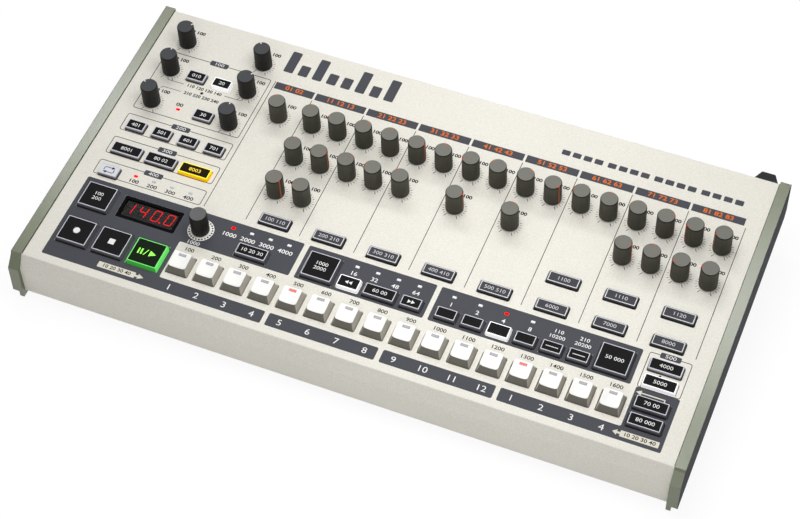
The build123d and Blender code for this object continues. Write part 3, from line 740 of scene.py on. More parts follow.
def print_title_bars():
    bars, numerals = Shape(), Shape()
    edges = column_edges()
    for column, (left, right) in enumerate(zip(edges, edges[1:])):
        start = left + BAND_GAP + BAND_SHIFT
        end = min(right - BAND_GAP, BAND_END)
        u, v = (start + end) / 2, sum(BAND) / 2
        bars.print([soften(rectangle(u, v, end - start, BAND[1] - BAND[0]), 0.4)])
        text = " ".join(f"{column}{number}" for number in range(1, 4)) if column else "01 02"
        numerals.mark(text, u, v, TITLE_TYPE, wide=1.2, bold=0.015)
    bars.make("title_bars", "housing", "cream_paint", [DARK_INK])
    numerals.make("title_numerals", "housing", "cream_paint", [ORANGE_INK])


def frame_line(shape, u0, v0, u1, v1, width=LINE):
    """Thin rounded frame between two opposite corners."""
    u, v = (u0 + u1) / 2, (v0 + v1) / 2
    outer = soften(rectangle(u, v, u1 - u0, v1 - v0), FRAME_CORNER)
    inner = soften(rectangle(u, v, u1 - u0 - 2 * width, v1 - v0 - 2 * width), FRAME_CORNER - width)
    shape.print([outer, inner])


FRAMES = (                # thin frames on the left and right: corners, and the middle of their tag
    (12.8, 149.8, 99.6, 210.3, 56.2),
    (12.9, 127.2, 99.1, 143.7, 56.0),
    (13.1, 104.0, 99.6, 120.4, 56.2),
    (13.3, 83.6, 99.7, 97.4, 56.3),
    (438.6, 49.9, 468.8, 79.6, 453.3),
)
TAG_SIZE = (14.6, 4.6)
BRACKETS = (              # beside two labels: near end, far end, v, and the way the far end turns
    (39.2, 25.0, 183.4, 1),
    (72.7, 87.1, 183.4, 1),
    (40.1, 24.5, 176.0, -1),
    (74.4, 85.8, 176.0, -1),
)
BRACKET_BEND = 2.0
BRACKET_LINE = 0.4
BRACKET_LABELS = ((56.0, 183.4), (57.0, 176.0))
DIAMOND = (55.7, 179.8)


def bracket(shape, near, far, v, turn):
    """Line that ends in a quarter of a circle."""
    side = 1 if far > near else -1
    angles = [radians(angle) for angle in range(0, 91, 15)]
    bend = [(far - side * BRACKET_BEND * (1 - sin(angle)), v + turn * BRACKET_BEND * (1 - cos(angle)))
            for angle in angles]
    shape.line([(near, v)] + bend, BRACKET_LINE)


def diamond(shape, u, v, reach):
    shape.print([[(u + reach, v), (u, v + reach), (u - reach, v), (u, v - reach)]])


def print_lines():
    shape, labels = Shape(), Shape()
    for u0, v0, u1, v1, _ in FRAMES:
        frame_line(shape, u0, v0, u1, v1)
    shape.line([(LEFT_DIVIDER, COLUMN_LINES[0]), (LEFT_DIVIDER, BAND[1])])
    for u in column_edges()[1:]:
        shape.line([(u, COLUMN_LINES[0]), (u, COLUMN_LINES[1])])
    for ends in BRACKETS:
        bracket(shape, *ends)
    shape.make("panel_lines", "housing", "cream_paint", [LINE_INK])
    for number, place in enumerate(BRACKET_LABELS, start=1):
        text = " ".join(f"{number}{digit}0" for digit in range(1, 5))
        labels.mark(text, *place, 3.8, coat=INK, wide=1.1, bold=0.03)
    diamond(labels, *DIAMOND, 1.5)
    diamond(labels, FRAMES[-1][-1] - 2.3, 62.6, 1.1)
    labels.make("bracket_labels", "housing", "cream_paint", [BLACK_INK])


def print_tags():
    tags, numerals = Shape(), Shape()
    for number, (_, _, _, top, u) in enumerate(FRAMES, start=1):
        tags.print([soften(rectangle(u, top - LINE / 2, *TAG_SIZE), 1.2)], coat=TAG_COAT)
        numerals.mark(f"{number}00", u, top - LINE / 2, 4.0, coat=TAG_OVERPRINT, wide=1.35, bold=0.0)
    tags.make("frame_tags", "housing", "cream_paint", [DARK_INK])
    numerals.make("tag_numerals", "housing", "cream_paint", [WHITE_INK])


def print_knob_scales():
    bold, fine, numbers = Shape(), Shape(), Shape()
    for name in KNOBS:
        place = knob_place(name).xy
        if name == "knob_data":
            continue
        for angle in range(-KNOB_SWING, KNOB_SWING + 1, SCALE_STEP):
            way = Vector((sin(radians(angle)), cos(radians(angle))))
            if abs(angle) == KNOB_SWING:
                bold.line([place + way * reach for reach in LONG_SCALE], LONG_MARK)
            else:
                width = SHORT_MARKS[angle // SCALE_STEP % 2]
                fine.line([place + way * reach for reach in SHORT_SCALE], width)
        numbers.mark("0 50 100", place.x, place.y + KNOB_LABEL, 4.0, coat=INK, wide=1.2, bold=0.035)
    bold.make("knob_end_marks", "housing", "cream_paint", [BLACK_INK])
    fine.make("knob_scales", "housing", "cream_paint", [FINE_INK])
    numbers.make("knob_numbers", "housing", "cream_paint", [BLACK_INK])


def print_data_ring():
    """Pale ring with a circle of dots round the data knob."""
    ring, dots = Shape(), Shape()
    u, v, _ = knob_place("knob_data")
    ring.print([circle(u, v + DATA_RING_SHIFT, DATA_RING[1], 64), circle(u, v, DATA_RING[0], 64)],
               coat=OVERPRINT)
    for dot in range(DATA_DOTS):
        angle = 2 * pi * dot / DATA_DOTS
        place = u + DATA_DOT_PLACE * cos(angle), v + DATA_RING_SHIFT + DATA_DOT_PLACE * sin(angle)
        dots.print([circle(*place, DATA_DOT, 12)], coat=THIRD_COAT)
    ring.make("data_ring", "housing", "cream_paint", [RING_INK])
    dots.make("data_dots", "housing", "cream_paint", [LINE_INK])


def print_numbers():
    white, dark = Shape(), Shape()
    for index, box in enumerate(KEYS):
        u = middle(box).x
        shift = KEY_LABEL_SHIFT[0] + KEY_LABEL_SHIFT[1] * index
        white.mark(str(index % 12 + 1), u, NUMBER_V, NUMBER_TYPE, wide=1.15, bold=0.0)
        dark.mark(f"{index + 1}00", u + shift, KEY_LABEL_V, KEY_LABEL_TYPE, coat=INK, wide=1.15,
                  bold=0.015)
    lamps = [middle(box) for box in LAMPS]
    dark.mark("00", lamps[0].x - 0.6, lamps[0].y + 4.4, LAMP_TYPE, coat=INK, wide=1.3, bold=0.03)
    for number, place in enumerate(lamps[1:5], start=1):
        dark.mark(f"{number}00", place.x + 0.4, place.y - 4.7, LAMP_TYPE, coat=INK, wide=1.25, bold=0.02)
    for number, place in enumerate(lamps[5:9], start=1):
        white.mark(f"{number}000", place.x - 0.6, place.y - 6.4, ZONE_TYPE, wide=1.2, bold=0.015)
    for number, place in enumerate(lamps[9:13], start=1):
        white.mark(str(16 * number), place.x - 0.4, place.y - 6.2, ZONE_TYPE)
    for power, place in enumerate(lamps[13:17]):
        white.mark(str(2 ** power), place.x, place.y - 6.6, ZONE_TYPE)
    for number, u in enumerate(PAIR_LABELS, start=1):
        for row, text in enumerate((f"{number}10", f"{number}0200")):
            white.mark(text, u, PAIR_LABEL_V - PAIR_LABEL_DROP * row, 4.1)
    white.mark("1000", *DATA_LABEL, 4.2, wide=1.2, bold=0.015)
    white.make("zone_numbers", "housing", "cream_paint", [WHITE_INK])
    dark.make("panel_numbers", "housing", "cream_paint", [BLACK_INK])


ARROW_BOXES = (           # left end, right end, tip of the arrow, and v
    (54.8, 83.8, 90.4, 11.8),
    (439.9, 466.6, 434.6, 11.5),
)
ARROW_BOX_DEPTH = 4.8
ARROW_SHAFT = 1.6                 # its width
ARROW_REACH = 2.2                 # from the box to the head, and half the head's width
BENT_ARROW = (((459.8, 43.2), (459.8, 46.3)), ((460.2, 45.9), (443.0, 45.9)))
BENT_ARROW_LINE = 0.9
BENT_ARROW_FOOT, BENT_ARROW_TIP = (443.4, 45.9), 439.7


def arrow_head(shape, foot, tip, reach):
    """Triangle that points along the panel's width."""
    u, v = foot
    shape.print([[(u, v - reach), (tip, v), (u, v + reach)]], coat=OVERPRINT)


def print_arrow_labels():
    """Pale label boxes whose arrows point along the number band, and a bent arrow."""
    shape, numerals = Shape(), Shape()
    for u0, u1, tip, v in ARROW_BOXES:
        box = rectangle((u0 + u1) / 2, v, u1 - u0, ARROW_BOX_DEPTH)
        shape.print([soften(box, 0.5)], coat=OVERPRINT)
        near, side = (u1, 1) if tip > u1 else (u0, -1)
        arrow_head(shape, (near + side * ARROW_REACH, v), tip, ARROW_REACH)
        shape.line([(near - side * 0.2, v), (near + side * 2.6, v)], ARROW_SHAFT, coat=OVERPRINT)
        numerals.mark("10 20 30 40", (u0 + u1) / 2, v, 4.0, coat=THIRD_COAT, bold=0.015)
    for run in BENT_ARROW:
        shape.line(run, BENT_ARROW_LINE, coat=OVERPRINT)
    arrow_head(shape, BENT_ARROW_FOOT, BENT_ARROW_TIP, 1.9)
    shape.make("label_boxes", "housing", "cream_paint", [CREAM_INK])
    numerals.make("label_numerals", "housing", "cream_paint", [BLACK_INK])


MOTIF_BARS = (1.0, 0.5, 1.0, 0.5, 0.5, 1.0, 0.5, 1.0)      # heights as shares of the tallest
MOTIF_BAR = (7.6, 21.0)           # width, and height of the tallest
MOTIF_PLACE = (107.5, 221.5)      # middle of the first bar's foot
MOTIF_PITCH = 11.6
STEP_BLOCKS = 16
STEP_BLOCK = (6.2, 4.6)
STEP_BLOCK_PLACE = (329.0, 222.0)       # of the first
STEP_BLOCK_PITCH = 8.3
STEP_BLOCK_GAP = 1.8              # spare room after every fourth


def print_step_motif():
    """Plain rows of bars where a title would stand."""
    shape = Shape()
    u, foot = MOTIF_PLACE
    width, tallest = MOTIF_BAR
    for index, share in enumerate(MOTIF_BARS):
        tall = tallest * share
        shape.print([soften(rectangle(u + MOTIF_PITCH * index, foot + tall / 2, width, tall), 1.2)])
    u, v = STEP_BLOCK_PLACE
    for index in range(STEP_BLOCKS):
        along = STEP_BLOCK_PITCH * index + STEP_BLOCK_GAP * (index // 4)
        shape.print([soften(rectangle(u + along, v, *STEP_BLOCK), 0.8)])
    shape.make("step_motif", "housing", "cream_paint", [DARK_INK])


def print_seams():
    """Painted shadow: a dark line on the panel where it meets each cheek."""
    shape = Shape()
    for u in (SEAM / 2, PANEL_WIDTH - SEAM / 2):
        shape.line([(u, 0.4), (u, PANEL_DEPTH)], SEAM)
    shape.make("cheek_seam_shadows", "housing", "green_cheek", [SEAM_PAINTED_SHADOW])


def print_rear():
    """A number over every socket in the rear wall, and a frame round each group."""
    shape = Shape()
    for node, first in (("audio_jacks", 1), ("power_and_data_sockets", 20)):
        bodies = [box for box in solids(node) if (box[1] - box[0]).y > 5.0]
        places = sorted(PANEL_WIDTH - middle(box).x for box in bodies)
        frame_line(shape, places[0] - REAR_FRAME_SPARE, REAR_FRAME[0],
                   places[-1] + REAR_FRAME_SPARE, REAR_FRAME[1], width=0.35)
        for number, place in enumerate(places, start=first):
            shape.mark(str(number), place, REAR_NUMBER_N, 4.4, coat=INK, wide=1.2)
    shape.make("rear_numbers", "housing", "rear_paint", [BLACK_INK], place=REAR)


# ------------------------------------------------------------------ lamps and display
LAMPS_LIT = (0, 1, 5, 15)
LAMPS_ON_CREAM = range(5)
LAMP_PROFILE = ((0.0, -5.0), (0.0, 0.28), (0.1, 0.42), (0.3, 0.5))      # inset and n of each edge


def lamps():
    """Oblong lenses, a little proud of the panel."""
    shapes = {finish: Shape() for finish in ("lit", "grey", "white")}
    for index, box in enumerate(LAMPS):
        finish = "lit" if index in LAMPS_LIT else "grey" if index in LAMPS_ON_CREAM else "white"
        outlines = []
        for inset, n in LAMP_PROFILE:
            size = [side - 2 * inset for side in LAMP_SIZE]
            outlines.append((level(soften(rectangle(*middle(box).xy, *size), 0.35), n), 0))
        shapes[finish].skin(outlines)
    for finish, material in (("lit", LAMP_LIT), ("grey", LAMP_OFF), ("white", LAMP_WHITE_PAINTED_GLOW)):
        shapes[finish].make(f"lamps_{finish}", "housing", "lamp_red", [material], ["led_lamps"])


SEGMENTS = {"0": "abcdef", "1": "bc", "4": "bcfg"}
DIGITS = "1400"
POINT_AFTER = 2                   # the digit that the lit point follows
POINT_OFFSET = 4.2                # of a point from its digit's middle
POINT_RADIUS = 0.6
DIGIT_SIZE = (5.2, 9.2)           # between the middles of opposite segments
DIGIT_FIRST = (53.3, 64.6)        # middle of the first digit
DIGIT_PITCH = 10.6
DIGIT_SLANT = 0.13
SEGMENT = 0.56
DIGIT_COAT = (-1.24, -1.16)       # in the window's face


def segment_outline(segment, u, v):
    """Slanted bar of one segment of a digit whose middle is (u, v)."""
    width, height = DIGIT_SIZE
    bars = {"a": (0, height / 2, 1), "g": (0, 0, 1), "d": (0, -height / 2, 1),
            "f": (-width / 2, height / 4, 0), "b": (width / 2, height / 4, 0),
            "e": (-width / 2, -height / 4, 0), "c": (width / 2, -height / 4, 0)}
    x, y, lies_level = bars[segment]
    half, nib = (width if lies_level else height / 2) / 2 - 0.2, SEGMENT / 2
    outline = [(half, 0), (half - nib, nib), (nib - half, nib), (-half, 0), (nib - half, -nib),
               (half - nib, -nib)]
    if not lies_level:
        outline = [(-q, p) for p, q in outline]
    return [(u + x + p + DIGIT_SLANT * (y + q), v + y + q) for p, q in outline]


def display():
    """Lit digits, and the dark segments beside them."""
    lit, dark = Shape(), Shape()
    u, v = DIGIT_FIRST
    for index, digit in enumerate(DIGITS):
        for segment in "abcdefg":
            shape = lit if segment in SEGMENTS[digit] else dark
            shape.print([segment_outline(segment, u + index * DIGIT_PITCH, v)], coat=DIGIT_COAT)
        middle_u = u + POINT_OFFSET + index * DIGIT_PITCH
        point = circle(middle_u, v - DIGIT_SIZE[1] / 2, POINT_RADIUS, 16)
        (lit if index == POINT_AFTER else dark).print([point], coat=DIGIT_COAT)
    lit.make("display_digits", "housing", "display_black", [DIGIT_LIT])
    dark.make("display_dark_digits", "housing", "display_black", [DIGIT_DARK])


# ------------------------------------------------------------------ knobs
KNOB_TOP = 19.5
KNOB_FOOT = 1.0
KNOB_RADII = (6.65, 6.4)          # at the foot and at the tip
KNOB_POINTS = 144
KNOB_RIDGES = 18
RIDGE_DEPTH = 0.16
KNOB_COLLAR = ((3.2, 0.6), (5.6, 0.6), (5.9, KNOB_FOOT))        # radius and n, under the cap
KNOB_RIDGED = (1.2, 9.0, 17.2)    # n of the rings that are ridged in full
KNOB_BROW = ((0.25, 19.3), (0.5, KNOB_TOP))       # inset from the tip's radius, and n
KNOB_DISH = ((0.8, 0.03), (2.5, 0.12))            # inset and drop, across the top
MARK_HALF = 0.45                  # half the width of the mark on a knob's top
MARK_PROFILE = ((-0.02, 18.9), (-0.22, 19.33), (-0.5, KNOB_TOP + 0.03), (-1.9, KNOB_TOP - 0.04),
                (-1.9, 19.0), (-0.6, 18.7))       # reach past the tip's radius, and n
STRIPE_HALF = 0.42                # half the width of the stripe down its side
CAP_SIDE, CAP_TOP, CAP_MARK, CAP_EDGE, CAP_STRIPE = range(5)


def knob_ring(radius, n, ridge):
    """Ring of a knob's side, with its shallow ridges."""
    points = []
    for index in range(KNOB_POINTS):
        angle = 2 * pi * index / KNOB_POINTS
        wave = abs(sin(angle * KNOB_RIDGES / 2)) ** 0.5
        reach = radius - ridge * (1 - wave)
        points.append(Vector((reach * cos(angle), reach * sin(angle), n)))
    return points


def knob_body(shape):
    """Slightly tapered cap whose ridges fade out below its eased edge."""
    foot, tip = KNOB_RADII

    def radius(n):
        return foot + (tip - foot) * (n - KNOB_FOOT) / (KNOB_TOP - KNOB_FOOT)
    sections = [(knob_ring(reach, n, 0), CAP_SIDE) for reach, n in KNOB_COLLAR]
    sections.append((knob_ring(foot - 0.1, KNOB_FOOT, RIDGE_DEPTH), CAP_SIDE))
    sections += [(knob_ring(radius(n), n, RIDGE_DEPTH), CAP_SIDE) for n in KNOB_RIDGED]
    sections.append((knob_ring(radius(18.3), 18.3, RIDGE_DEPTH * 0.4), CAP_SIDE))
    sections.append((knob_ring(radius(18.9) - 0.06, 18.9, 0), CAP_SIDE))
    sections += [(knob_ring(tip - inset, n, 0), CAP_EDGE) for inset, n in KNOB_BROW]
    sections += [(knob_ring(tip - inset, KNOB_TOP - drop, 0), CAP_TOP) for inset, drop in KNOB_DISH]
    sections.append((knob_ring(0.5, KNOB_TOP - 0.16, 0), CAP_TOP))
    shape.skin(sections)


def inlay(shape, profile, half, finish):
    """Flat piece set across the knob's front, with the given side view."""
    shape.skin([([Vector((side * half, reach, n)) for reach, n in profile], finish) for side in (-1, 1)])


def pointer(shape, striped):
    """Mark on the top at the rim, and a stripe down the side."""
    foot, tip = KNOB_RADII
    inlay(shape, [(tip + reach, n) for reach, n in MARK_PROFILE], MARK_HALF, CAP_MARK)
    if striped:
        inlay(shape, [(foot + 0.05, 1.3), (tip + 0.06, 18.5), (tip, 18.95), (tip - 0.6, 18.9),
                      (foot - 0.6, 1.3)], STRIPE_HALF, CAP_STRIPE)


def knobs():
    for name in KNOBS:
        joint = JOINTS[name]
        dark = name.startswith(("knob_left", "knob_right", "knob_data"))
        shape = Shape()
        knob_body(shape)
        if name != "knob_data":
            pointer(shape, not dark)
        turn = 0.0 if name == "knob_data" else radians(sum(joint["range_deg"]) / 2)
        place = PANEL @ Matrix.Translation(knob_place(name)) @ Matrix.Rotation(turn, 4, "Z")
        finishes = [KNOB_SIDE_GREY, KNOB_TOP_GREY, ORANGE_MARK, KNOB_EDGE, ORANGE_STRIPE]
        if dark:
            top = KNOB_TOP_DATA if name == "knob_data" else KNOB_TOP_BLACK
            finishes = [KNOB_SIDE_BLACK, top, WHITE_MARK, KNOB_EDGE]
        slot = "knob_black" if dark else "knob_grey"
        shape.make(f"{name}_cap", name, slot, finishes, [name], place)


# ------------------------------------------------------------------ buttons
SIDE, RIM, FACE, LEGEND, BORDER_AND_PAINTED_FLANK = range(5)
OUTLINES = {                      # from the side up: inset and drop of each edge, and the band's finish
    "plain": ((0.0, 2.9, SIDE), (0.2, 0.3, SIDE), (0.32, 0.05, RIM), (0.9, 0.05, RIM), (0.95, 0.2, FACE)),
    "zone": ((0.0, 2.7, SIDE), (1.0, 0.15, SIDE), (1.06, 0.05, RIM), (1.55, 0.05, RIM), (1.6, 0.15, FACE)),
    "voice": ((0.0, 2.2, SIDE), (0.1, 0.6, SIDE), (0.5, 0.0, BORDER_AND_PAINTED_FLANK), (0.75, 0.0, BORDER_AND_PAINTED_FLANK), (1.35, 0.0, RIM),
              (1.4, 0.08, FACE)),
    "glow": ((0.5, 2.9, SIDE), (1.0, 0.15, SIDE), (1.06, 0.05, RIM), (1.55, 0.05, RIM), (1.6, 0.15, FACE)),
}
LOOKS = {                         # outline, and the finish of side, rim, face, legend and border; on zone and glow buttons the border finish is painted light on the sides that face across
    "plain": ("plain", SMOKE_PAINTED_LIGHT, RIM_PALE_PAINTED_GLOW, FACE_BLACK, WHITE_INK, SMOKE_PAINTED_LIGHT),
    "zone": ("zone", SMOKE_PAINTED_SHADE, RIM_PALE_PAINTED_GLOW, FACE_BLACK, WHITE_INK, FLANK_PAINTED_LIGHT),
    "voice": ("voice", SMOKE_VOICE, RIM_GREY_PAINTED_GLOW, FACE_GREY, VOICE_INK, BORDER_GREY),
    "lit": ("plain", LIT_WHITE, LIT_WHITE, FACE_BLACK, WHITE_INK, LIT_WHITE),
    "yellow": ("plain", LIT_YELLOW, LIT_YELLOW_RIM, FACE_BROWN, LEGEND_YELLOW, LIT_YELLOW),
    "green": ("glow", LIT_GREEN, LIT_GREEN_RIM, FACE_GREEN, LEGEND_GREEN, LIT_GREEN_RIM),
    "loop": ("plain", SMOKE_PAINTED_LIGHT, RIM_PALE_PAINTED_GLOW, FACE_WHITE, BLACK_INK, SMOKE_PAINTED_LIGHT),
}
RECORD_RADIUS = 2.5
STOP_SIDE = 4.6
PAUSE_BARS = (-6.5, -4.2)         # u of the two bars beside the play sign
PAUSE_BAR = (1.15, 4.8)
REPEAT_BAR = ((-3.9, -0.9), (-3.9, 1.4), (-3.2, 2.1), (1.8, 2.1))       # one half of the repeat sign
REPEAT_HEAD = ((1.6, 3.3), (1.6, 0.9), (4.2, 2.1))
LEGEND_TYPE = 4.2
LEGEND_DROP = 4.3                 # from one line of numerals to the next
VOICE_LEGENDS = ("1100", "1110", "1120", "100 110", "200 210", "300 310", "400 410", "500 510",
                 "6000", "7000", "8000")


def legend(shape, kind, u, v, n):
    """Numerals, a dash, or a plain sign for record, stop, play, back, forward or repeat."""
    coat = (n - 0.03, n + 0.03)
    if kind == "record":
        shape.print([circle(u, v, RECORD_RADIUS, 40)], LEGEND, coat)
    elif kind == "stop":
        shape.print([rectangle(u, v, STOP_SIDE, STOP_SIDE)], LEGEND, coat)
    elif kind == "play":
        for offset in PAUSE_BARS:
            shape.print([rectangle(u + offset, v, *PAUSE_BAR)], LEGEND, coat)
        shape.line([(u - 2.2, v - 2.6), (u + 0.2, v + 2.6)], 0.6, LEGEND, coat)
        shape.print([[(u + 1.9, v - 2.5), (u + 6.9, v), (u + 1.9, v + 2.5)]], LEGEND, coat)
    elif kind in ("back", "forward"):
        way = 1 if kind == "forward" else -1
        for offset in (-2.5, 0.3):
            foot, tip = u + way * offset, u + way * (offset + 2.5)
            shape.print([[(foot, v - 1.5), (tip, v), (foot, v + 1.5)][::way]], LEGEND, coat)
    elif kind == "dash":
        shape.line([(u - 4.4, v), (u + 4.4, v)], 0.5, LEGEND, coat)
    elif kind == "loop":
        for way in (-1, 1):
            shape.line([(u + way * x, v + way * y) for x, y in REPEAT_BAR], 0.55, LEGEND, coat)
            shape.print([[(u + way * x, v + way * y) for x, y in REPEAT_HEAD]], LEGEND, coat)
    elif kind:
        lines = kind.split("/")
        for row, text in enumerate(lines):
            rise = (len(lines) - 1) / 2 - row
            shape.mark(text, u, v + LEGEND_DROP * rise, LEGEND_TYPE, LEGEND, coat, bold=0.0)


def button(name, bank, box, look, kind):
    shape = Shape()
    u, v, _ = middle(box)
    size = box[1] - box[0]
    width, depth, top = size.x - 2 * BUTTON_RIM, size.y - 2 * BUTTON_RIM, box[1].z
    outline, *finishes = LOOKS[look]

    def ring(inset, drop):
        corner = max(0.9 - inset * 0.35, 0.4)
        return level(soften(rectangle(u, v, width - 2 * inset, depth - 2 * inset), corner), top - drop)
    bands = OUTLINES[outline]
    foot_inset, _, foot_finish = bands[0]
    shape.skin([(ring(foot_inset, top - BUTTON_FOOT_N), foot_finish)] +
               [(ring(inset, drop), finish) for inset, drop, finish in bands])
    # painted light: the sides facing across take the border finish, a paler flank on zone buttons and a
    # brighter green on the lit play button
    if outline in ("zone", "glow"):
        shape.repaint(SIDE, BORDER_AND_PAINTED_FLANK, Vector((1, 0, 0)))
    legend(shape, kind, u, v, top - bands[-1][1])
    slot = "button_grey" if bank == "voice_buttons" else "button_black"
    shape.make(name, bank, slot, finishes, [bank])


def buttons():
    voices = [("voice", text) for text in VOICE_LEGENDS]
    squares = [("zone", "100/200"), ("zone", "1000/2000"), ("zone", "50 000"), ("zone", "record"),
               ("zone", "stop"), ("green", "play")]
    functions = [("plain", "010"), ("lit", "20"), ("plain", "30")]
    functions += [("plain", f"{number}01") for number in range(4, 8)]
    functions += [("plain", "8001"), ("plain", "80 02"), ("yellow", "8003"), ("loop", "loop")]
    patterns = [("plain", "4000"), ("zone", "10 20 30"), ("lit", "back"), ("zone", "60 00"),
                ("zone", "forward")]
    patterns += [("zone", ""), ("zone", ""), ("lit", ""), ("zone", ""), ("zone", "dash"), ("zone", "dash")]
    patterns += [("lit", "5000"), ("zone", "70 00"), ("zone", "80 000")]
    looks = {"voice_buttons": voices, "square_buttons": squares,
             "function_buttons": functions, "pattern_buttons": patterns}
    for bank, boxes in BANKS.items():
        for number, (box, (look, kind)) in enumerate(zip(boxes, looks[bank], strict=True), start=1):
            button(f"{bank[:-1]}_{number}", bank, box, look, kind)


# ------------------------------------------------------------------ step keys
KEY_FOOT = (16.3, 16.6)
KEY_TOP_SIZE = (13.2, 12.8)
KEY_SHIFT = 0.5                   # of the top, towards the rear
KEY_HEIGHT = 6.9
KEY_TILT = 4.6
KEY_SAG = 1.0                     # the top's middle lies this much below its side edges
KEY_SKIRT_N = -3.4                # where the sides end, out of sight
KEY_HOLLOW = 0.35                 # how far the sides bow inwards
KEY_EDGE = ((0.97, 0.04, 0.0), (1.0, 0.25, 0.1))       # share of the height, inset and drop
KEY_WALL, KEY_DECK, KEY_PANE, KEY_PANE_EDGE, KEY_WALL_PAINTED_LIGHT = range(5)
KEY_DISH = ((0.6, 0.0), (1.6, 0.06), (3.2, 0.2), (5.0, 0.27))      # inset and drop, across the top
KEY_LIT = (4, 12)
KEY_WINDOW_PLACE = 4.1            # behind the middle of the top
KEY_WINDOW_SIZE = (5.0, 1.5)


def step_key(index, box):
    """Flared cap with a dished top and a small window at its rear."""
    shape = Shape()
    u, v, _ = middle(box)

    def sag(x):
        return Vector((0, 0, KEY_SAG * max(1 - (2 * x / KEY_TOP_SIZE[0]) ** 2, 0)))

    def ring(share, inset=0.0, sink=0.0):
        """Outline between the foot, at 0, and the top, at 1."""
        width, depth = [foot + (top - foot) * share - 2 * inset
                        for foot, top in zip(KEY_FOOT, KEY_TOP_SIZE)]
        corner = max(0.8 + 1.4 * share - inset * 0.5, 0.4)
        tilt = Matrix.Rotation(radians(KEY_TILT) * share, 4, "X")
        lift = Matrix.Translation((u, v + KEY_SHIFT * share, KEY_HEIGHT * share - sink))
        points = level(finely(soften(rectangle(0, 0, width, depth), corner, 6)), 0)
        return [lift @ tilt @ (point - sag(point.x) * share ** 3) for point in points]
    skirt = [Vector((x, y, KEY_SKIRT_N)) for x, y, _ in ring(0.0)]
    sections = [(skirt, KEY_WALL), (ring(0.0), KEY_WALL)]
    sections += [(ring(share, KEY_HOLLOW * sin(pi * share)), KEY_WALL) for share in (0.25, 0.5, 0.75)]
    sections.append((ring(0.93, 0.05), KEY_WALL))
    sections += [(ring(*edge), KEY_DECK) for edge in KEY_EDGE]
    sections += [(ring(1.0, *dish), KEY_DECK) for dish in KEY_DISH]
    shape.skin(sections)
    # painted light: the walls facing either way across take the paler flank finish
    shape.repaint(KEY_WALL, KEY_WALL_PAINTED_LIGHT, Vector((1, 0, 0)))
    place = Matrix.Translation((u, v + KEY_SHIFT, KEY_HEIGHT)) @ Matrix.Rotation(radians(KEY_TILT), 4, "X")
    for spare, top, finish in ((0.5, -0.02, KEY_PANE_EDGE), (0.0, 0.03, KEY_PANE)):
        wide, deep = [(side + spare) / 2 for side in KEY_WINDOW_SIZE]
        profile = ((-deep, -0.4), (deep, -0.4), (deep, top), (-deep, top))
        places = [wide * (step / 4 - 1) for step in range(9)]
        shape.skin([([Vector((x, KEY_WINDOW_PLACE + y, n)) - sag(x) for y, n in profile], finish)
                    for x in places], place)
    window = KEY_WINDOW_LIT if index in KEY_LIT else KEY_WINDOW
    shape.make(f"step_key_{index + 1}", "step_keys", "key_white",
               [KEY_SIDE, KEY_TOP, window, KEY_WINDOW_EDGE, KEY_FLANK_PAINTED_LIGHT], ["step_keys"])


# ------------------------------------------------------------------ stage
VIEW_AIM = (252.08, 90.46)        # the point of the panel in the middle of the view
VIEW_DISTANCE = 1.40076
VIEW_AZIMUTH = 22.170
VIEW_ELEVATION = 49.687
LENS = 90.072
FLOOR_REACH = 6.0
FLOOR_WHITE = 1.05                # its own light where it is seen
FLOOR_SHADOW = 0.13               # how much of its own shading the floor shows
FILL = 0.29                       # the studio's light from all round


def look_at(thing, target):
    thing.rotation_mode = "QUATERNION"
    thing.rotation_quaternion = (target - thing.location).to_track_quat("-Z", "Y")


def around(azimuth, elevation, distance):
    """Way from the middle of the machine to a point seen at an azimuth and elevation."""
    a, e = radians(azimuth), radians(elevation)
    return Vector((sin(a) * cos(e), -cos(a) * cos(e), sin(e))) * distance


def camera():
    data = bpy.data.cameras.new("camera")
    data.lens = LENS
    data.sensor_width = 36.0
    data.clip_start, data.clip_end = 0.05, 50.0
    made = bpy.data.objects.new("camera", data)
    bpy.context.scene.collection.objects.link(made)
    target = PANEL @ Vector((*VIEW_AIM, 0))
    made.location = target + around(VIEW_AZIMUTH, VIEW_ELEVATION, VIEW_DISTANCE)
    look_at(made, target)
    bpy.context.scene.camera = made


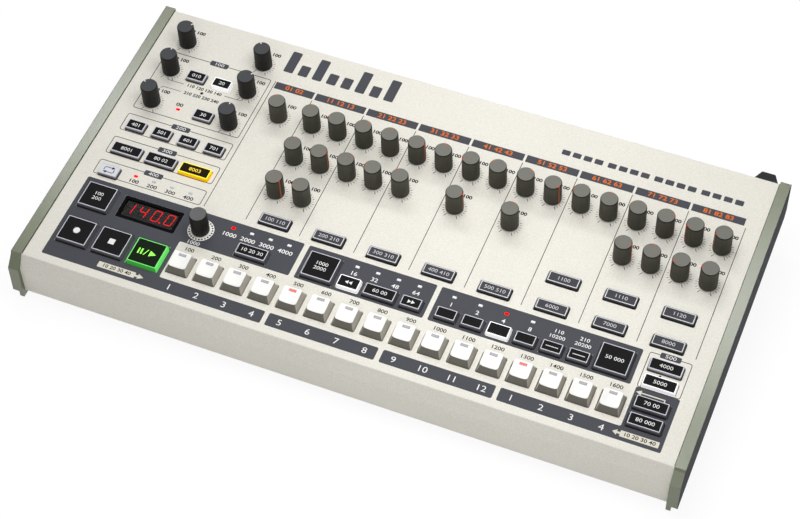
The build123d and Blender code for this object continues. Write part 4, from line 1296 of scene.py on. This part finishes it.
def soft_box(name, place, size, power, target):
    data = bpy.data.lights.new(name, "AREA")
    data.shape = "RECTANGLE"
    data.size, data.size_y = size
    data.energy = power
    made = bpy.data.objects.new(name, data)
    bpy.context.scene.collection.objects.link(made)
    made.location = place
    look_at(made, Vector(target))


def world():
    """White where it is looked at, straight or in a mirror, and a softer light elsewhere."""
    made = bpy.data.worlds.new("studio")
    bpy.context.scene.world = made
    made.use_nodes = True
    board = Board(made.node_tree)
    fill, white = [board.node("ShaderNodeBackground", {}, {"Color": (1, 1, 1, 1), "Strength": strength})
                   for strength in (FILL, 1.0)]
    board.mixed(board.seen(), fill, white, "World Output")


def floor():
    """Pale floor that keeps the machine's shadow."""
    mesh = bpy.data.meshes.new("floor")
    mesh.from_pydata([(x, y, 0) for x, y in rectangle(0, 0, 2 * FLOOR_REACH, 2 * FLOOR_REACH)],
                     [], [(0, 1, 2, 3)])
    made = bpy.data.objects.new("floor", mesh)
    bpy.context.scene.collection.objects.link(made)
    finish = Finish("floor", Base_Color=paint(246, 246, 246), Roughness=0.9, Specular_IOR_Level=0.1)
    white = finish.node("ShaderNodeEmission", {}, {"Strength": FLOOR_WHITE})
    shaded = Signal(finish, finish.surface.outputs[0])
    finish.mixed(finish.seen() * (1 - FLOOR_SHADOW), shaded, white, "Material Output")
    mesh.materials.append(finish.material)


SOFT_BOXES = {                    # place, size, watts, and the point each is turned to
    "key": ((-0.34, 0.66, 1.2), (1.15, 0.2), 6.0, (-0.34, 0.0, 0.05)),
    "overhead": ((0.07, -0.04, 0.52), (0.3, 0.3), 1.25, (0.07, -0.04, 0.05)),
    "front": (around(10.0, 36.0, 1.5), (1.0, 1.0), 3.3, (0.0, 0.0, 0.04)),
}


def studio():
    bpy.context.scene.view_settings.view_transform = "Standard"
    world()
    floor()
    for name, settings in SOFT_BOXES.items():
        soft_box(name, *settings)


# ------------------------------------------------------------------ the machine
dress_frame()
print_zones()
print_title_bars()
print_lines()
print_tags()
print_knob_scales()
print_data_ring()
print_numbers()
print_arrow_labels()
print_step_motif()
print_seams()
print_rear()
lamps()
display()
knobs()
buttons()
for place, key_box in enumerate(KEYS):
    step_key(place, key_box)
camera()
studio()
